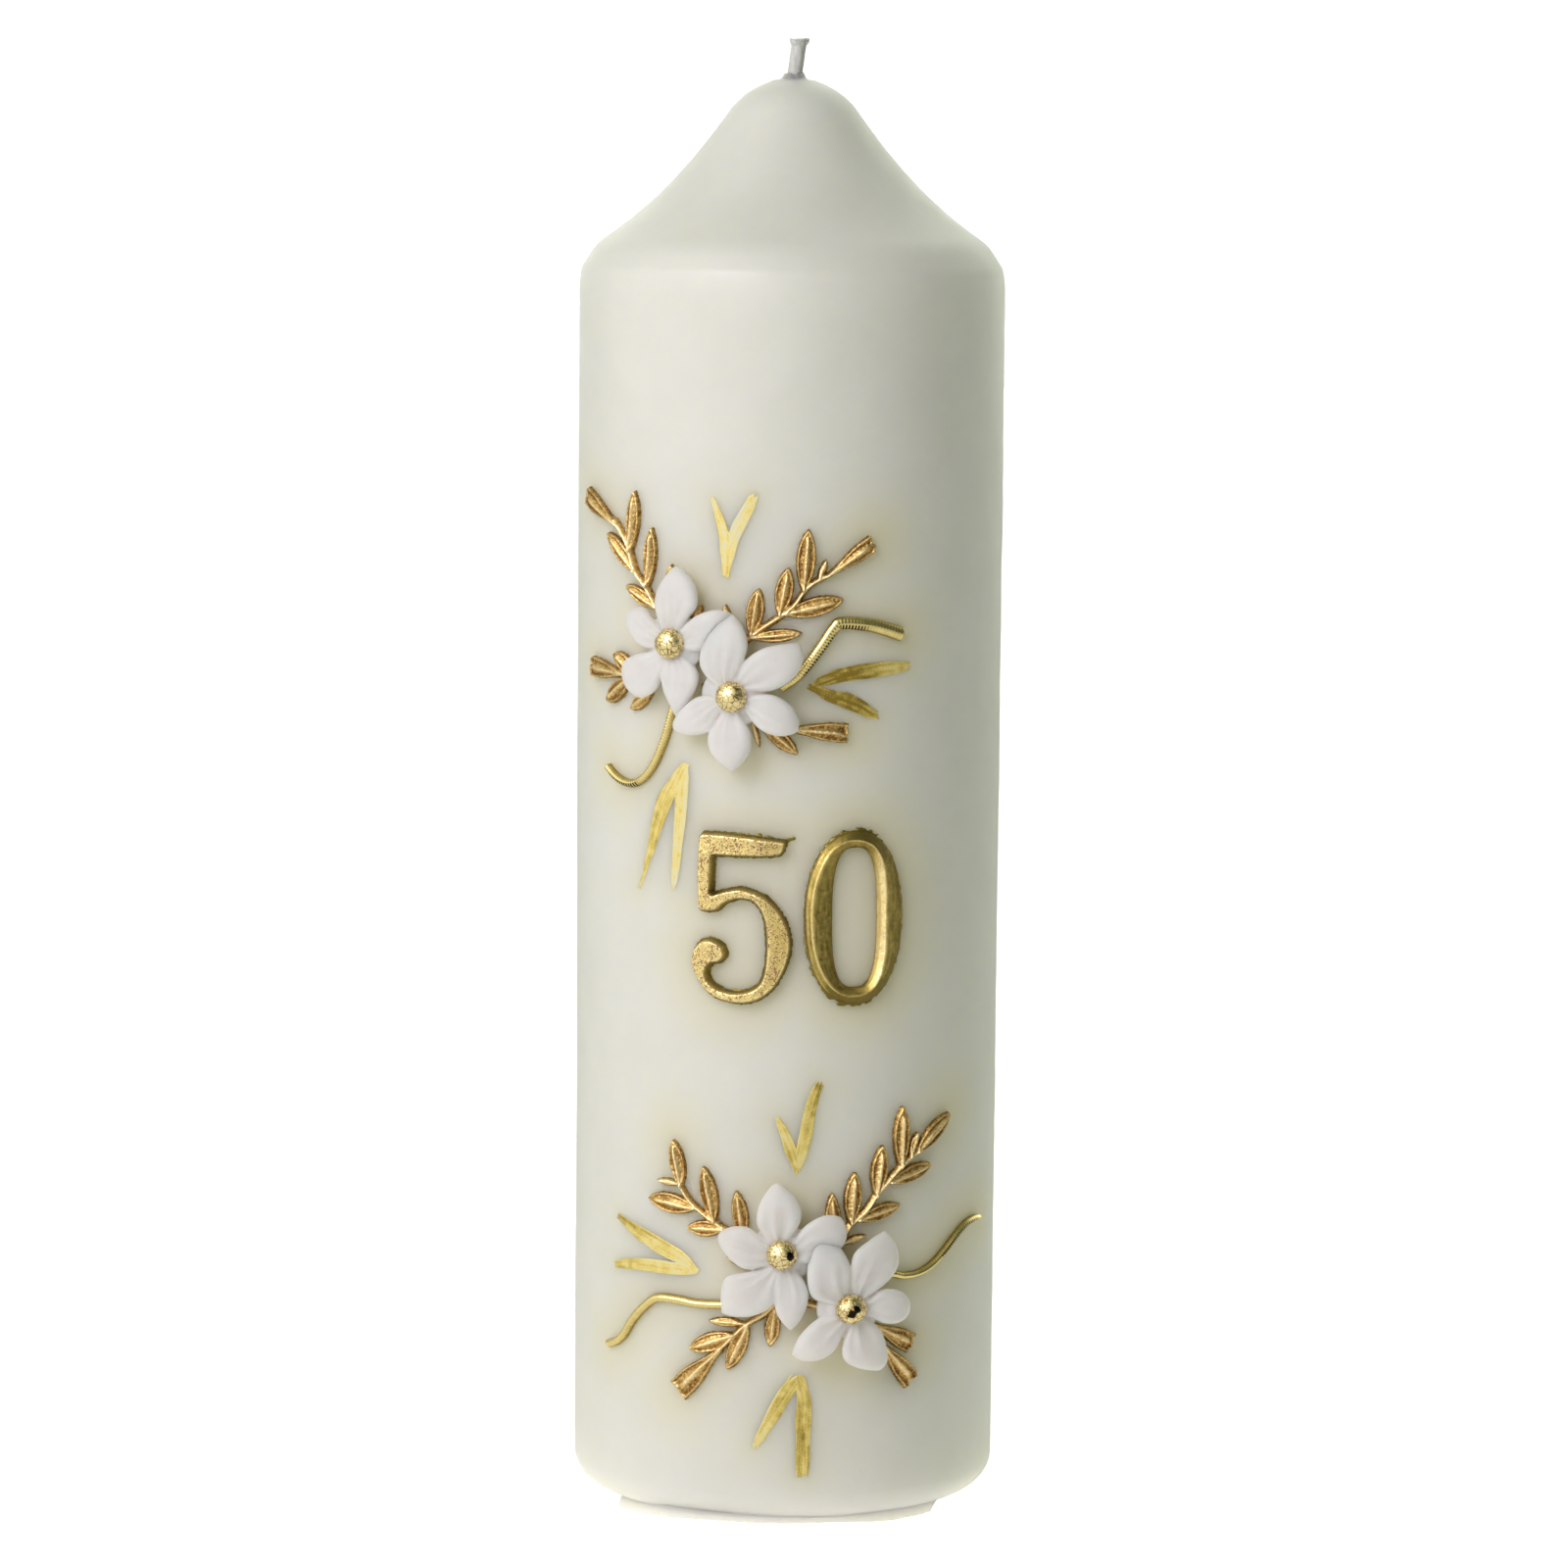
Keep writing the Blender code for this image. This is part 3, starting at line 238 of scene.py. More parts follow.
# Half-round strip: points (across, up) and the width at its first and last point
STRIPS = {
    "upper_strip_left": ([(-20.9, 135.2), (-21.4, 133.4), (-22.6, 129.6), (-24.5, 125.6), (-26.5, 123.1),
                          (-28.9, 121.7), (-31.3, 121.6), (-33.7, 122.4), (-35.9, 123.7)], 1.5, 1.3),
    "upper_strip_right": ([(-3.0, 138.2), (0.0, 140.6), (3.1, 144.6), (5.4, 147.9), (6.8, 148.7),
                           (11.8, 148.2), (16.9, 146.7)], 1.5, 2.4),
    "lower_strip_left": ([(-9.0, 37.9), (-15.7, 37.6), (-19.7, 37.9), (-23.6, 37.7), (-26.5, 35.7),
                          (-28.9, 33.2), (-30.8, 30.7), (-32.8, 29.2), (-34.9, 28.4)], 1.5, 1.5),
    "lower_strip_right": ([(13.2, 41.6), (16.2, 42.4), (18.6, 41.9), (21.5, 42.0), (24.4, 43.0),
                           (27.3, 44.9), (30.2, 47.0), (33.1, 48.5), (35.9, 49.0), (37.7, 48.9)], 1.3, 1.1),
}
# Where painted dark reflections show black between a strip's ribs: shares along of its start and end, place
# across from -1 to 1
DASHES = {
    "upper_strip_right": [(0.14, 0.55, -0.90), (0.52, 0.80, -0.75)],
    "lower_strip_right": [(0.50, 0.99, -0.10)],
    "upper_strip_left": [(0.62, 0.99, 0.45)],
}
RIB_PITCH = 0.52
STRIP_HEIGHT = 0.95
STRIP_SINK = 0.15

# Brush mark: two strokes from a shared apex, each a list of (across, up, width, load of paint). The load also
# paints shade: a high load turns dark olive, and the upper right mark, which faces away from the light, is
# given one.
BRUSH_MARKS = {
    "upper_brush_top": [
        [(-12.2, 156.3, 1.1, 0.44), (-12.2, 159.6, 1.7, 0.34), (-12.5, 162.7, 1.6, 0.4),
         (-13.4, 165.5, 1.3, 0.42), (-14.4, 168.0, 0.8, 0.34)],
        [(-12.0, 156.9, 1.1, 0.42), (-11.5, 159.6, 1.9, 0.3), (-10.8, 162.3, 2.0, 0.24),
         (-9.5, 165.1, 2.2, 0.26), (-7.8, 168.2, 1.9, 0.36)],
    ],
    "upper_brush_right": [
        [(1.7, 138.6, 0.8, 0.9), (4.5, 139.7, 1.9, 0.9), (7.7, 140.5, 2.4, 0.92), (11.0, 140.9, 2.5, 0.9),
         (14.5, 141.2, 2.2, 0.6), (18.1, 141.5, 1.4, 0.5)],
        [(1.9, 138.5, 0.8, 0.9), (4.6, 137.2, 1.9, 0.95), (7.3, 136.3, 2.5, 0.95), (9.9, 135.1, 2.2, 0.9),
         (12.3, 133.6, 1.3, 0.7)],
    ],
    "upper_brush_bottom": [
        [(-19.5, 124.9, 1.4, 0.42), (-21.1, 122.1, 2.2, 0.44), (-22.5, 119.8, 2.7, 0.5),
         (-23.7, 117.2, 2.7, 0.56), (-24.9, 113.9, 2.1, 0.58), (-25.9, 110.6, 1.4, 0.5),
         (-27.0, 107.3, 0.8, 0.5), (-28.0, 104.8, 0.3, 0.5)],
        [(-18.8, 125.0, 1.1, 0.38), (-19.4, 122.2, 2.1, 0.36), (-19.8, 117.4, 2.2, 0.36),
         (-20.3, 112.6, 1.9, 0.34), (-20.9, 106.2, 1.1, 0.3), (-20.9, 104.9, 0.6, 0.3)],
    ],
    "lower_brush_top": [
        [(0.3, 60.0, 1.1, 0.55), (0.9, 62.8, 1.9, 0.58), (1.5, 65.6, 2.1, 0.6), (2.4, 70.4, 1.9, 0.64),
         (3.5, 73.9, 1.4, 0.85)],
        [(0.3, 60.0, 1.0, 0.55), (-0.8, 63.4, 1.9, 0.58), (-1.9, 66.3, 1.6, 0.48), (-2.9, 68.3, 0.8, 0.42)],
    ],
    "lower_brush_left": [
        [(-16.6, 42.9, 1.0, 0.36), (-18.2, 44.2, 1.9, 0.38), (-20.1, 45.1, 2.4, 0.42),
         (-23.5, 46.3, 2.6, 0.48), (-26.9, 47.5, 2.4, 0.55), (-30.0, 48.7, 1.8, 0.72),
         (-32.8, 49.9, 0.8, 0.9)],
        [(-16.6, 42.7, 0.8, 0.36), (-19.3, 42.8, 1.9, 0.36), (-23.1, 42.9, 2.1, 0.36),
         (-26.4, 42.8, 2.1, 0.42), (-30.0, 42.4, 1.8, 0.55), (-33.3, 41.9, 1.1, 0.62)],
    ],
    "lower_brush_bottom": [
        [(0.1, 25.4, 1.9, 0.55), (-1.6, 23.1, 2.4, 0.56), (-3.2, 20.2, 2.3, 0.52), (-4.5, 17.9, 1.8, 0.44),
         (-5.7, 15.6, 1.3, 0.36), (-6.2, 14.4, 0.6, 0.36)],
        [(1.0, 25.6, 1.8, 0.62), (1.7, 22.1, 2.4, 0.68), (1.6, 18.9, 2.6, 0.72), (1.6, 15.7, 2.4, 0.74),
         (1.6, 12.1, 2.3, 0.7), (1.5, 10.3, 1.9, 0.66)],
    ],
}

# Numeral outline, (across, up), smooth through every point but the sharp ones
FIVE_OUTLINE = [
    (-16.1, 114.0), (-15.2, 114.9), (-8.0, 114.6), (-1.7, 113.9, "sharp"), (-2.1, 112.1), (-3.2, 111.1),
    (-13.4, 110.9, "sharp"), (-13.6, 105.1, "sharp"), (-11.0, 105.9), (-8.5, 106.1), (-4.6, 104.5),
    (-1.7, 100.7), (-0.9, 96.3), (-2.9, 90.7), (-6.0, 87.8), (-9.6, 87.1), (-13.9, 88.3), (-16.7, 91.8),
    (-17.2, 94.8), (-15.9, 97.1), (-13.9, 97.7), (-11.7, 96.6), (-11.3, 94.9), (-12.3, 93.7),
    (-13.8, 93.2), (-14.2, 91.6), (-12.6, 89.9), (-9.2, 89.3), (-6.3, 90.6), (-5.3, 94.0), (-5.4, 100.2),
    (-6.9, 103.4), (-9.3, 104.0), (-11.7, 103.1), (-12.7, 102.1), (-15.4, 101.9), (-16.2, 102.6),
]
ZERO_CENTRE = (9.3, 101.2)
ZERO_OUTER = (8.3, 14.1)
ZERO_INNER = (3.8, 11.3)
ZERO_OUTER_POWER = 2.15
ZERO_INNER_POWER = 2.9
NUMERAL_EDGE = 0.35
NUMERAL_TOP = 1.85
# A thorn of wax left at the five's top right corner
FIVE_THORN = [(-2.2, 113.2), (-1.4, 113.9), (-0.7, 114.1)]
FIVE_THORN_RADIUS = 0.24

# Cell of the grid that each kind of relief is made on, and how far the grid reaches past its corners
LEAF_GRID, LEAF_MARGIN = 0.13, 2.5
NUMERAL_GRID, NUMERAL_MARGIN = 0.12, 1.5
BRUSH_GRID, BRUSH_MARGIN = 0.11, 2.5
CASTING_FOOT = -0.15
PAINT_FOOT = -0.1

# Painted warm light: the gold's bounced light painted into the wax's colour, by distance: how wide it is, how
# much weaker it is round a brush mark and where a flower's edge counts as. Lines further up or down than the
# cut-off are left out.
GLOW_WIDTH = 6.5
GLOW_BRUSH_SETBACK = 4.0
GLOW_FLOWER_RADIUS = 9.0
GLOW_CUT_OFF = 12.0
GLOW_BRUSH_CUT_OFF = 8.0
# Painted warm light also at the bottom of the candle and on the foot, and round the wick
BASE_PAINTED_LIGHT = 0.15
WICK_PAINTED_LIGHT = 0.35
FAR_OFF = 99.0


# Small mathematics

def smoothstep(low, high, value):
    t = np.clip((value - low) / (high - low), 0.0, 1.0)
    return t * t * (3.0 - 2.0 * t)


def hump(value, centre, width):
    """A bell of height 1 round centre."""
    return np.exp(-((value - centre) / width) ** 2)


def window(value, rise_start, rise_end, fall_start, fall_end):
    """1 in the middle, fading to 0 at both ends."""
    return smoothstep(rise_start, rise_end, value) * smoothstep(fall_end, fall_start, value)


def noise(across, up, size, seed):
    """Smooth noise between -1 and 1 whose bumps are about size apart."""
    column = np.floor(across / size)
    row = np.floor(up / size)
    fade_x = smoothstep(0.0, 1.0, across / size - column)
    fade_y = smoothstep(0.0, 1.0, up / size - row)

    def corner(step_x, step_y):
        wave = np.sin((column + step_x) * 127.1 + (row + step_y) * 311.7 + seed * 74.7) * 43758.5453
        return wave - np.floor(wave)

    low = corner(0, 0) * (1.0 - fade_x) + corner(1, 0) * fade_x
    high = corner(0, 1) * (1.0 - fade_x) + corner(1, 1) * fade_x
    return 2.0 * (low * (1.0 - fade_y) + high * fade_y) - 1.0


def smooth_path(points, step):
    """Points every step or so along a smooth curve through the given points (rows of any length)."""
    points = [np.array(point, float) for point in points]
    padded = [2 * points[0] - points[1], *points, 2 * points[-1] - points[-2]]
    path = []
    for before, start, end, after in zip(padded, padded[1:], padded[2:], padded[3:]):
        count = max(2, int(np.linalg.norm((end - start)[:2]) / step))
        for index in range(count):
            t = index / count
            path.append(0.5 * (2 * start + (end - before) * t
                               + (2 * before - 5 * start + 4 * end - after) * t ** 2
                               + (3 * start - before - 3 * end + after) * t ** 3))
    path.append(points[-1])
    return np.array(path)


def follow_path(across, up, path):
    """For every place: distance to the path, signed side, how far along it is, and the path row there."""
    nearest = np.full(across.shape, np.inf)
    side = np.zeros(across.shape)
    along = np.zeros(across.shape)
    row = np.zeros(across.shape)
    travelled = 0.0
    for index, (start, end) in enumerate(zip(path, path[1:])):
        delta = end[:2] - start[:2]
        length = np.hypot(*delta)
        offset_x = across - start[0]
        offset_y = up - start[1]
        t = np.clip((offset_x * delta[0] + offset_y * delta[1]) / length ** 2, 0.0, 1.0)
        distance = np.hypot(offset_x - t * delta[0], offset_y - t * delta[1])
        closer = distance < nearest
        nearest = np.where(closer, distance, nearest)
        side = np.where(closer, (delta[0] * offset_y - delta[1] * offset_x) / length, side)
        along = np.where(closer, travelled + t * length, along)
        row = np.where(closer, index + t, row)
        travelled += length
    return nearest, side, along, row


def signed_distance(across, up, outline):
    """Distance to a closed outline, positive inside it."""
    nearest = follow_path(across, up, np.vstack([outline, outline[:1]]))[0]
    inside = np.zeros(across.shape, bool)
    for (x1, y1), (x2, y2) in zip(outline, np.roll(outline, -1, axis=0)):
        crosses = (y1 > up) != (y2 > up)
        if y1 != y2:
            inside ^= crosses & (across < (x2 - x1) * (up - y1) / (y2 - y1) + x1)
    return np.where(inside, nearest, -nearest)


def rounding(edge, width):
    """A quarter round: 0 at the edge, 1 from width in."""
    return np.sqrt(np.clip(1.0 - (1.0 - np.clip(edge / width, 0.0, 1.0)) ** 2, 0.0, 1.0))


def hermite(start, leave, end, arrive, t):
    """A place on the smooth curve between two ends with the given slopes."""
    return (start * (2 * t ** 3 - 3 * t ** 2 + 1) + leave * (t ** 3 - 2 * t ** 2 + t)
            + end * (3 * t ** 2 - 2 * t ** 3) + arrive * (t ** 3 - t ** 2))


def circle_angles(count):
    """Angles evenly round a full circle."""
    return np.linspace(0.0, 2 * math.pi, count, endpoint=False)


def signed_power(value, power):
    return np.sign(value) * np.abs(value) ** power


def smooth_max(first, second, softness):
    """The larger of two values, with the change from one to the other softened."""
    blend = np.clip(0.5 + 0.5 * (first - second) / softness, 0.0, 1.0)
    return second * (1 - blend) + first * blend + softness * blend * (1 - blend)


# Meshes

def wrap(points):
    """Bend rows of (across, up, relief) millimetres round the candle, into metres."""
    angle = points[:, 0] / WAX_RADIUS
    radius = WAX_RADIUS + points[:, 2] + wax_unevenness(points[:, 0], points[:, 1])
    return np.stack([radius * np.sin(angle), -radius * np.cos(angle), points[:, 1]], axis=1) * MM


def wax_unevenness(across, height):
    """How far the dipped side swells out at a place; it fades to nothing at the middle of the back."""
    swell = 0.10 * noise(across, height, 34.0, 3) + 0.035 * noise(across, height, 9.0, 4)
    return swell * smoothstep(0.0, 12.0, height) * smoothstep(108.0, 85.0, np.abs(across))


def add_object(name, data):
    """Put a mesh, camera or light in the scene."""
    made = bpy.data.objects.new(name, data)
    bpy.context.scene.collection.objects.link(made)
    return made


def add_piece(name, points, faces, material, nodes, attributes=None):
    """Make a smooth-shaded mesh piece that rides on the candle and stands for CAD nodes."""
    mesh = bpy.data.meshes.new(name)
    mesh.from_pydata(points.tolist(), [], faces)
    mesh.update()
    for key, values in (attributes or {}).items():
        layer = mesh.attributes.new(key, "FLOAT", "POINT")
        layer.data.foreach_set("value", np.asarray(values, np.float32))
    mesh.shade_smooth()
    mesh.materials.append(material)
    piece = add_object(name, mesh)
    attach(piece, "root")
    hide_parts(*nodes)


def add_casting(name, corners, margin, cell, inside, shape, material, node,
                foot=CASTING_FOOT, smallest=12):
    """Make a piece in relief over the area round some corners where inside() is positive."""
    low, high = corners.min(0) - margin, corners.max(0) + margin
    points, faces, attributes = relief_solid(low, high, cell, inside, shape, foot, smallest)
    add_piece(name, wrap(points), faces, material, [node], attributes)


def bridge_diagonals(cells):
    """Fill a cell wherever two kept cells would touch at a corner only."""
    changed = True
    while changed:
        low_left, low_right = cells[:-1, :-1], cells[:-1, 1:]
        high_left, high_right = cells[1:, :-1], cells[1:, 1:]
        rising = low_left & high_right & ~low_right & ~high_left
        falling = low_right & high_left & ~low_left & ~high_right
        cells[:-1, 1:] |= rising
        cells[:-1, :-1] |= falling
        changed = bool(rising.any() or falling.any())
    return cells


def drop_specks(cells, smallest):
    """Empty every patch of touching cells that has fewer than smallest cells."""
    labels = np.where(cells, np.arange(1, cells.size + 1).reshape(cells.shape), 0)
    settled = False
    while not settled:
        spread = labels.copy()
        spread[1:, :] = np.maximum(spread[1:, :], labels[:-1, :])
        spread[:-1, :] = np.maximum(spread[:-1, :], labels[1:, :])
        spread[:, 1:] = np.maximum(spread[:, 1:], labels[:, :-1])
        spread[:, :-1] = np.maximum(spread[:, :-1], labels[:, 1:])
        spread = np.where(cells, spread, 0)
        settled = bool((spread == labels).all())
        labels = spread
    counts = np.bincount(labels.ravel(), minlength=cells.size + 1)
    return cells & (counts[labels] >= smallest)


def relief_solid(corner_low, corner_high, cell, inside, shape, foot, smallest):
    """Closed solid over the area where inside() is positive: returns points, faces and attributes.

    inside(across, up) gives the distance in from the edge, and shape(across, up) the relief of the top and
    a dictionary of attributes. The underside lies at the relief foot.
    """
    across, up = np.meshgrid(*[np.arange(low - cell, high + 2 * cell, cell)
                               for low, high in zip(corner_low, corner_high)])
    depth = inside(across, up)
    cells = (depth[:-1, :-1] + depth[1:, :-1] + depth[:-1, 1:] + depth[1:, 1:]) > 0
    cells[[0, -1], :] = False
    cells[:, [0, -1]] = False
    cells = bridge_diagonals(drop_specks(cells, smallest))
    rows, columns = np.nonzero(cells)
    width = across.shape[1]
    low_left = rows * width + columns
    quads = np.stack([low_left, low_left + 1, low_left + width + 1, low_left + width], axis=1)
    used, quads = np.unique(quads, return_inverse=True)
    quads = quads.reshape(-1, 4)
    x = across.ravel()[used]
    y = up.ravel()[used]
    edges = [edge for turn in range(4) for edge in zip(quads[:, turn].tolist(), quads[:, turn - 3].tolist())]
    known = set(edges)
    rim = np.array([edge for edge in edges if edge[::-1] not in known])
    on_rim = np.zeros(len(x), bool)
    on_rim[rim.ravel()] = True
    x[on_rim], y[on_rim] = snap_to_edge(x[on_rim], y[on_rim], inside, cell)
    top, attributes = shape(x, y)
    count = len(x)
    points = np.concatenate([np.stack([x, y, top], axis=1),
                             np.stack([x, y, np.full(count, foot)], axis=1)])
    walls = np.stack([rim[:, 1], rim[:, 0], rim[:, 0] + count, rim[:, 1] + count], axis=1)
    faces = np.concatenate([quads, quads[:, ::-1] + count, walls]).tolist()
    return points, faces, {key: np.concatenate([value, value]) for key, value in attributes.items()}


def snap_to_edge(x, y, inside, cell):
    """Move places on to the line where inside() is zero, by less than a cell."""
    start_x, start_y = x.copy(), y.copy()
    tick = cell / 10
    for _ in range(3):
        value = inside(x, y)
        slope_x = (inside(x + tick, y) - inside(x - tick, y)) / (2 * tick)
        slope_y = (inside(x, y + tick) - inside(x, y - tick)) / (2 * tick)
        steep = np.maximum(slope_x ** 2 + slope_y ** 2, 0.05)
        x = x - value * slope_x / steep
        y = y - value * slope_y / steep
    far = np.hypot(x - start_x, y - start_y)
    keep = np.minimum(1.0, 0.7 * cell / np.maximum(far, 1e-9))
    return start_x + (x - start_x) * keep, start_y + (y - start_y) * keep


def joined(solids):
    """The points and faces of several solids as one."""
    points = np.concatenate([block for block, _ in solids])
    faces = []
    count = 0
    for block, block_faces in solids:
        faces += [tuple(corner + count for corner in face) for face in block_faces]
        count += len(block)
    return points, faces


def tube_faces(rings, sides):
    """Quads of a closed tube with a fan over each end; the two end centres follow the ring points."""
    faces = []
    for ring in range(rings - 1):
        for side in range(sides):
            following = (side + 1) % sides
            faces.append((ring * sides + side, ring * sides + following,
                          (ring + 1) * sides + following, (ring + 1) * sides + side))
    start_centre = rings * sides
    last = (rings - 1) * sides
    for side in range(sides):
        following = (side + 1) % sides
        faces.append((start_centre, following, side))
        faces.append((start_centre + 1, last + side, last + following))
    return faces


# Materials

def feed(tree, socket, value):
    """Link a node's output to a socket, or set the socket to a plain value."""
    if isinstance(value, bpy.types.NodeSocket):
        tree.links.new(value, socket)
    else:
        socket.default_value = value


def add_node(tree, kind, inputs=None, **settings):
    """Make a shader node; settings are its properties, and inputs are keyed by socket name or number."""
    made = tree.nodes.new(kind)
    for key, value in settings.items():
        setattr(made, key, value)
    for key, value in (inputs or {}).items():
        feed(tree, made.inputs[key], value)
    return made


class Look:
    """A material in the making: a Principled shader and the nodes that feed it."""

    def __init__(self, name, **values):
        self.material = bpy.data.materials.new(name)
        self.material.use_nodes = True
        self.tree = self.material.node_tree
        self.place = self.node("ShaderNodeTexCoord").outputs["Object"]
        self.connect(**values)

    def node(self, kind, inputs=None, **settings):
        return add_node(self.tree, kind, inputs, **settings)

    def noise(self, size_mm, detail=3.0, stretch=(1.0, 1.0, 1.0)):
        """Noise about size_mm coarse; stretch lengthens its grain along an axis."""
        scale = [1.0 / value for value in stretch]
        mapping = self.node("ShaderNodeMapping", {"Vector": self.place, "Scale": scale})
        return self.node("ShaderNodeTexNoise", {"Vector": mapping.outputs[0], "Scale": 1.0 / (size_mm * MM),
                                                "Detail": detail}).outputs["Fac"]

    def grain(self, size_mm, low, high, detail=3.0):
        """Noise about size_mm coarse that runs from low to high."""
        return self.spread(self.noise(size_mm, detail), 0.3, 0.7, low, high)

    def attribute(self, name):
        return self.node("ShaderNodeAttribute", attribute_name=name).outputs["Fac"]

    def ramp(self, factor, stops):
        """Colour ramp; stops are (position, colour)."""
        made = self.node("ShaderNodeValToRGB", {"Fac": factor})
        elements = made.color_ramp.elements
        while len(elements) < len(stops):
            elements.new(0.5)
        for element, (position, colour) in zip(elements, stops):
            element.position = position
            element.color = (*colour, 1.0)
        return made.outputs["Color"]

    def spread(self, factor, low, high, to_low, to_high):
        """Map factor from one range to another, clamped."""
        return self.node("ShaderNodeMapRange", {"Value": factor, "From Min": low, "From Max": high,
                                                "To Min": to_low, "To Max": to_high}).outputs["Result"]

    def math(self, operation, first, second):
        return self.node("ShaderNodeMath", {0: first, 1: second}, operation=operation).outputs[0]

    def mix(self, factor, first, second):
        made = self.node("ShaderNodeMix", {"Factor": factor}, data_type="RGBA")
        for socket, value in ((made.inputs[6], first), (made.inputs[7], second)):
            feed(self.tree, socket, (*value, 1.0) if isinstance(value, tuple) else value)
        return made.outputs[2]

    def bump(self, height, depth_mm, base=None):
        """Surface bumps whose full range of height stands depth_mm proud."""
        inputs = {"Height": height, "Strength": 1.0, "Distance": depth_mm * MM}
        if base is not None:
            inputs["Normal"] = base
        return self.node("ShaderNodeBump", inputs).outputs["Normal"]

    def set(self, socket, value):
        feed(self.tree, self.tree.nodes["Principled BSDF"].inputs[socket], value)

    def connect(self, **sockets):
        for key, value in sockets.items():
            self.set("Base Color" if key == "colour" else key.capitalize(), value)
        return self.material

    def translucent(self, weight, spread, depth_mm):
        self.set("Subsurface Weight", weight)
        self.set("Subsurface Radius", spread)
        self.set("Subsurface Scale", depth_mm * MM)


def wax_material():
    """Dipped wax, with painted warm light: yellower near the trim, where the gold's warm light is painted
    into its colour.
    """
    look = Look("white_wax")
    look.translucent(1.0, (1.0, 1.0, 0.8), 9.0)
    look.set("IOR", WAX_IOR)
    pale = look.ramp(look.noise(9.0, 4.0), [(0.3, (0.865, 0.863, 0.812)), (0.7, (0.895, 0.893, 0.847))])
    # Painted warm light: the colour is mixed towards yellow by the trim's attribute
    colour = look.mix(look.attribute("painted_warm_light"), pale, (0.885, 0.835, 0.64))
    sweat = look.noise(0.9)
    drawn = look.noise(2.5, 2.0, stretch=(1.0, 1.0, 14.0))
    normal = look.bump(sweat, 0.015, look.bump(drawn, 0.03))
    return look.connect(colour=colour, roughness=look.grain(5.0, 0.36, 0.48), normal=normal)


def flower_material():
    look = Look("flower_wax")
    look.translucent(1.0, (1.0, 0.85, 0.8), 3.2)
    look.set("IOR", WAX_IOR)
    colour = look.ramp(look.noise(3.0), [(0.3, (0.855, 0.815, 0.822)), (0.7, (0.905, 0.863, 0.872))])
    return look.connect(colour=colour, roughness=look.grain(1.2, 0.46, 0.58),
                        normal=look.bump(look.noise(0.35, 2.0), 0.008))


def cotton_material():
    look = Look("waxed_cotton", roughness=0.55)
    look.translucent(0.6, (1.0, 1.0, 0.8), 0.6)
    colour = look.ramp(look.noise(0.5, stretch=(1.0, 1.0, 4.0)),
                       [(0.25, (0.64, 0.64, 0.635)), (0.7, (0.80, 0.80, 0.79))])
    return look.connect(colour=colour, normal=look.bump(look.noise(0.12, 2.0, stretch=(1.0, 1.0, 3.0)), 0.03))


def tinplate_material():
    look = Look("tinplate", metallic=1.0)
    colour = look.ramp(look.noise(2.0, 4.0), [(0.3, (0.52, 0.52, 0.50)), (0.7, (0.66, 0.66, 0.64))])
    return look.connect(colour=colour, roughness=look.grain(0.6, 0.25, 0.45),
                        normal=look.bump(look.noise(0.3, 2.0), 0.01))


def leaf_gold_material():
    """Antique gold: brown left in the hollows, bright on the ridges, grainy all over."""
    look = Look("leaf_gold", metallic=1.0)
    tone = look.math("ADD", look.attribute("tone"), look.grain(0.3, -0.22, 0.22))
    colour = look.ramp(tone, [(0.05, (0.23, 0.11, 0.03)), (0.33, (0.56, 0.365, 0.13)),
                              (0.62, (0.81, 0.59, 0.27)), (0.95, (0.97, 0.79, 0.48))])
    return look.connect(colour=colour, roughness=look.grain(0.5, 0.34, 0.52),
                        normal=look.bump(look.noise(0.22), 0.06))


def numeral_gold_material():
    """Cast gold-coated wax, olive in the corners, with tiny pits that show the brown below."""
    look = Look("numeral_gold", metallic=1.0)
    tone = look.math("ADD", look.attribute("tone"), look.grain(0.6, -0.08, 0.08, 4.0))
    gold = look.ramp(tone, [(0.05, (0.22, 0.17, 0.04)), (0.40, (0.58, 0.44, 0.13)),
                            (0.70, (0.84, 0.66, 0.29)), (0.95, (0.95, 0.78, 0.40))])
    clusters = look.spread(look.noise(1.6, 2.0), 0.38, 0.62, 0.0, 0.08)
    pits = look.spread(look.math("ADD", look.noise(0.24, 2.0), clusters), 0.585, 0.65, 0.0, 1.0)
    shown = look.math("MULTIPLY", pits, look.attribute("pitted"))
    colour = look.mix(shown, gold, (0.33, 0.17, 0.11))
    normal = look.bump(shown, -0.05, look.bump(look.noise(0.2), 0.035))
    return look.connect(colour=colour, roughness=look.grain(0.4, 0.36, 0.50), normal=normal)


def bead_gold_material():
    """Gold leaf crazed over the bead: bright plates with brown between them."""
    look = Look("bead_gold", metallic=1.0)
    plates = look.mix(look.grain(0.6, 0.0, 1.0, 2.0), (0.86, 0.68, 0.33), (1.0, 0.86, 0.50))
    gilt = look.mix(look.attribute("crazed"), plates, (0.30, 0.17, 0.04))
    colour = look.mix(look.attribute("bare"), gilt, (0.02, 0.015, 0.01))
    return look.connect(colour=colour, roughness=look.grain(0.5, 0.18, 0.36),
                        normal=look.bump(look.noise(0.3, 2.0), 0.015))


def strip_gold_material():
    """Mirror-bright gilt wax: painted shade darkens it to olive towards its foot, a painted highlight runs
    along its crown, and painted dark reflections show black here and there.
    """
    look = Look("strip_gold", metallic=1.0)
    tone = look.math("ADD", look.attribute("tone"), look.grain(0.7, -0.1, 0.1))
    gold = look.ramp(tone, [(0.05, (0.28, 0.20, 0.05)), (0.45, (0.66, 0.50, 0.19)),
                            (0.85, (0.90, 0.73, 0.32))])
    colour = look.mix(look.attribute("painted_dark_reflection"), gold, (0.035, 0.028, 0.015))
    return look.connect(colour=colour, roughness=look.grain(0.8, 0.14, 0.26),
                        normal=look.bump(look.noise(0.8, 2.0), 0.008))


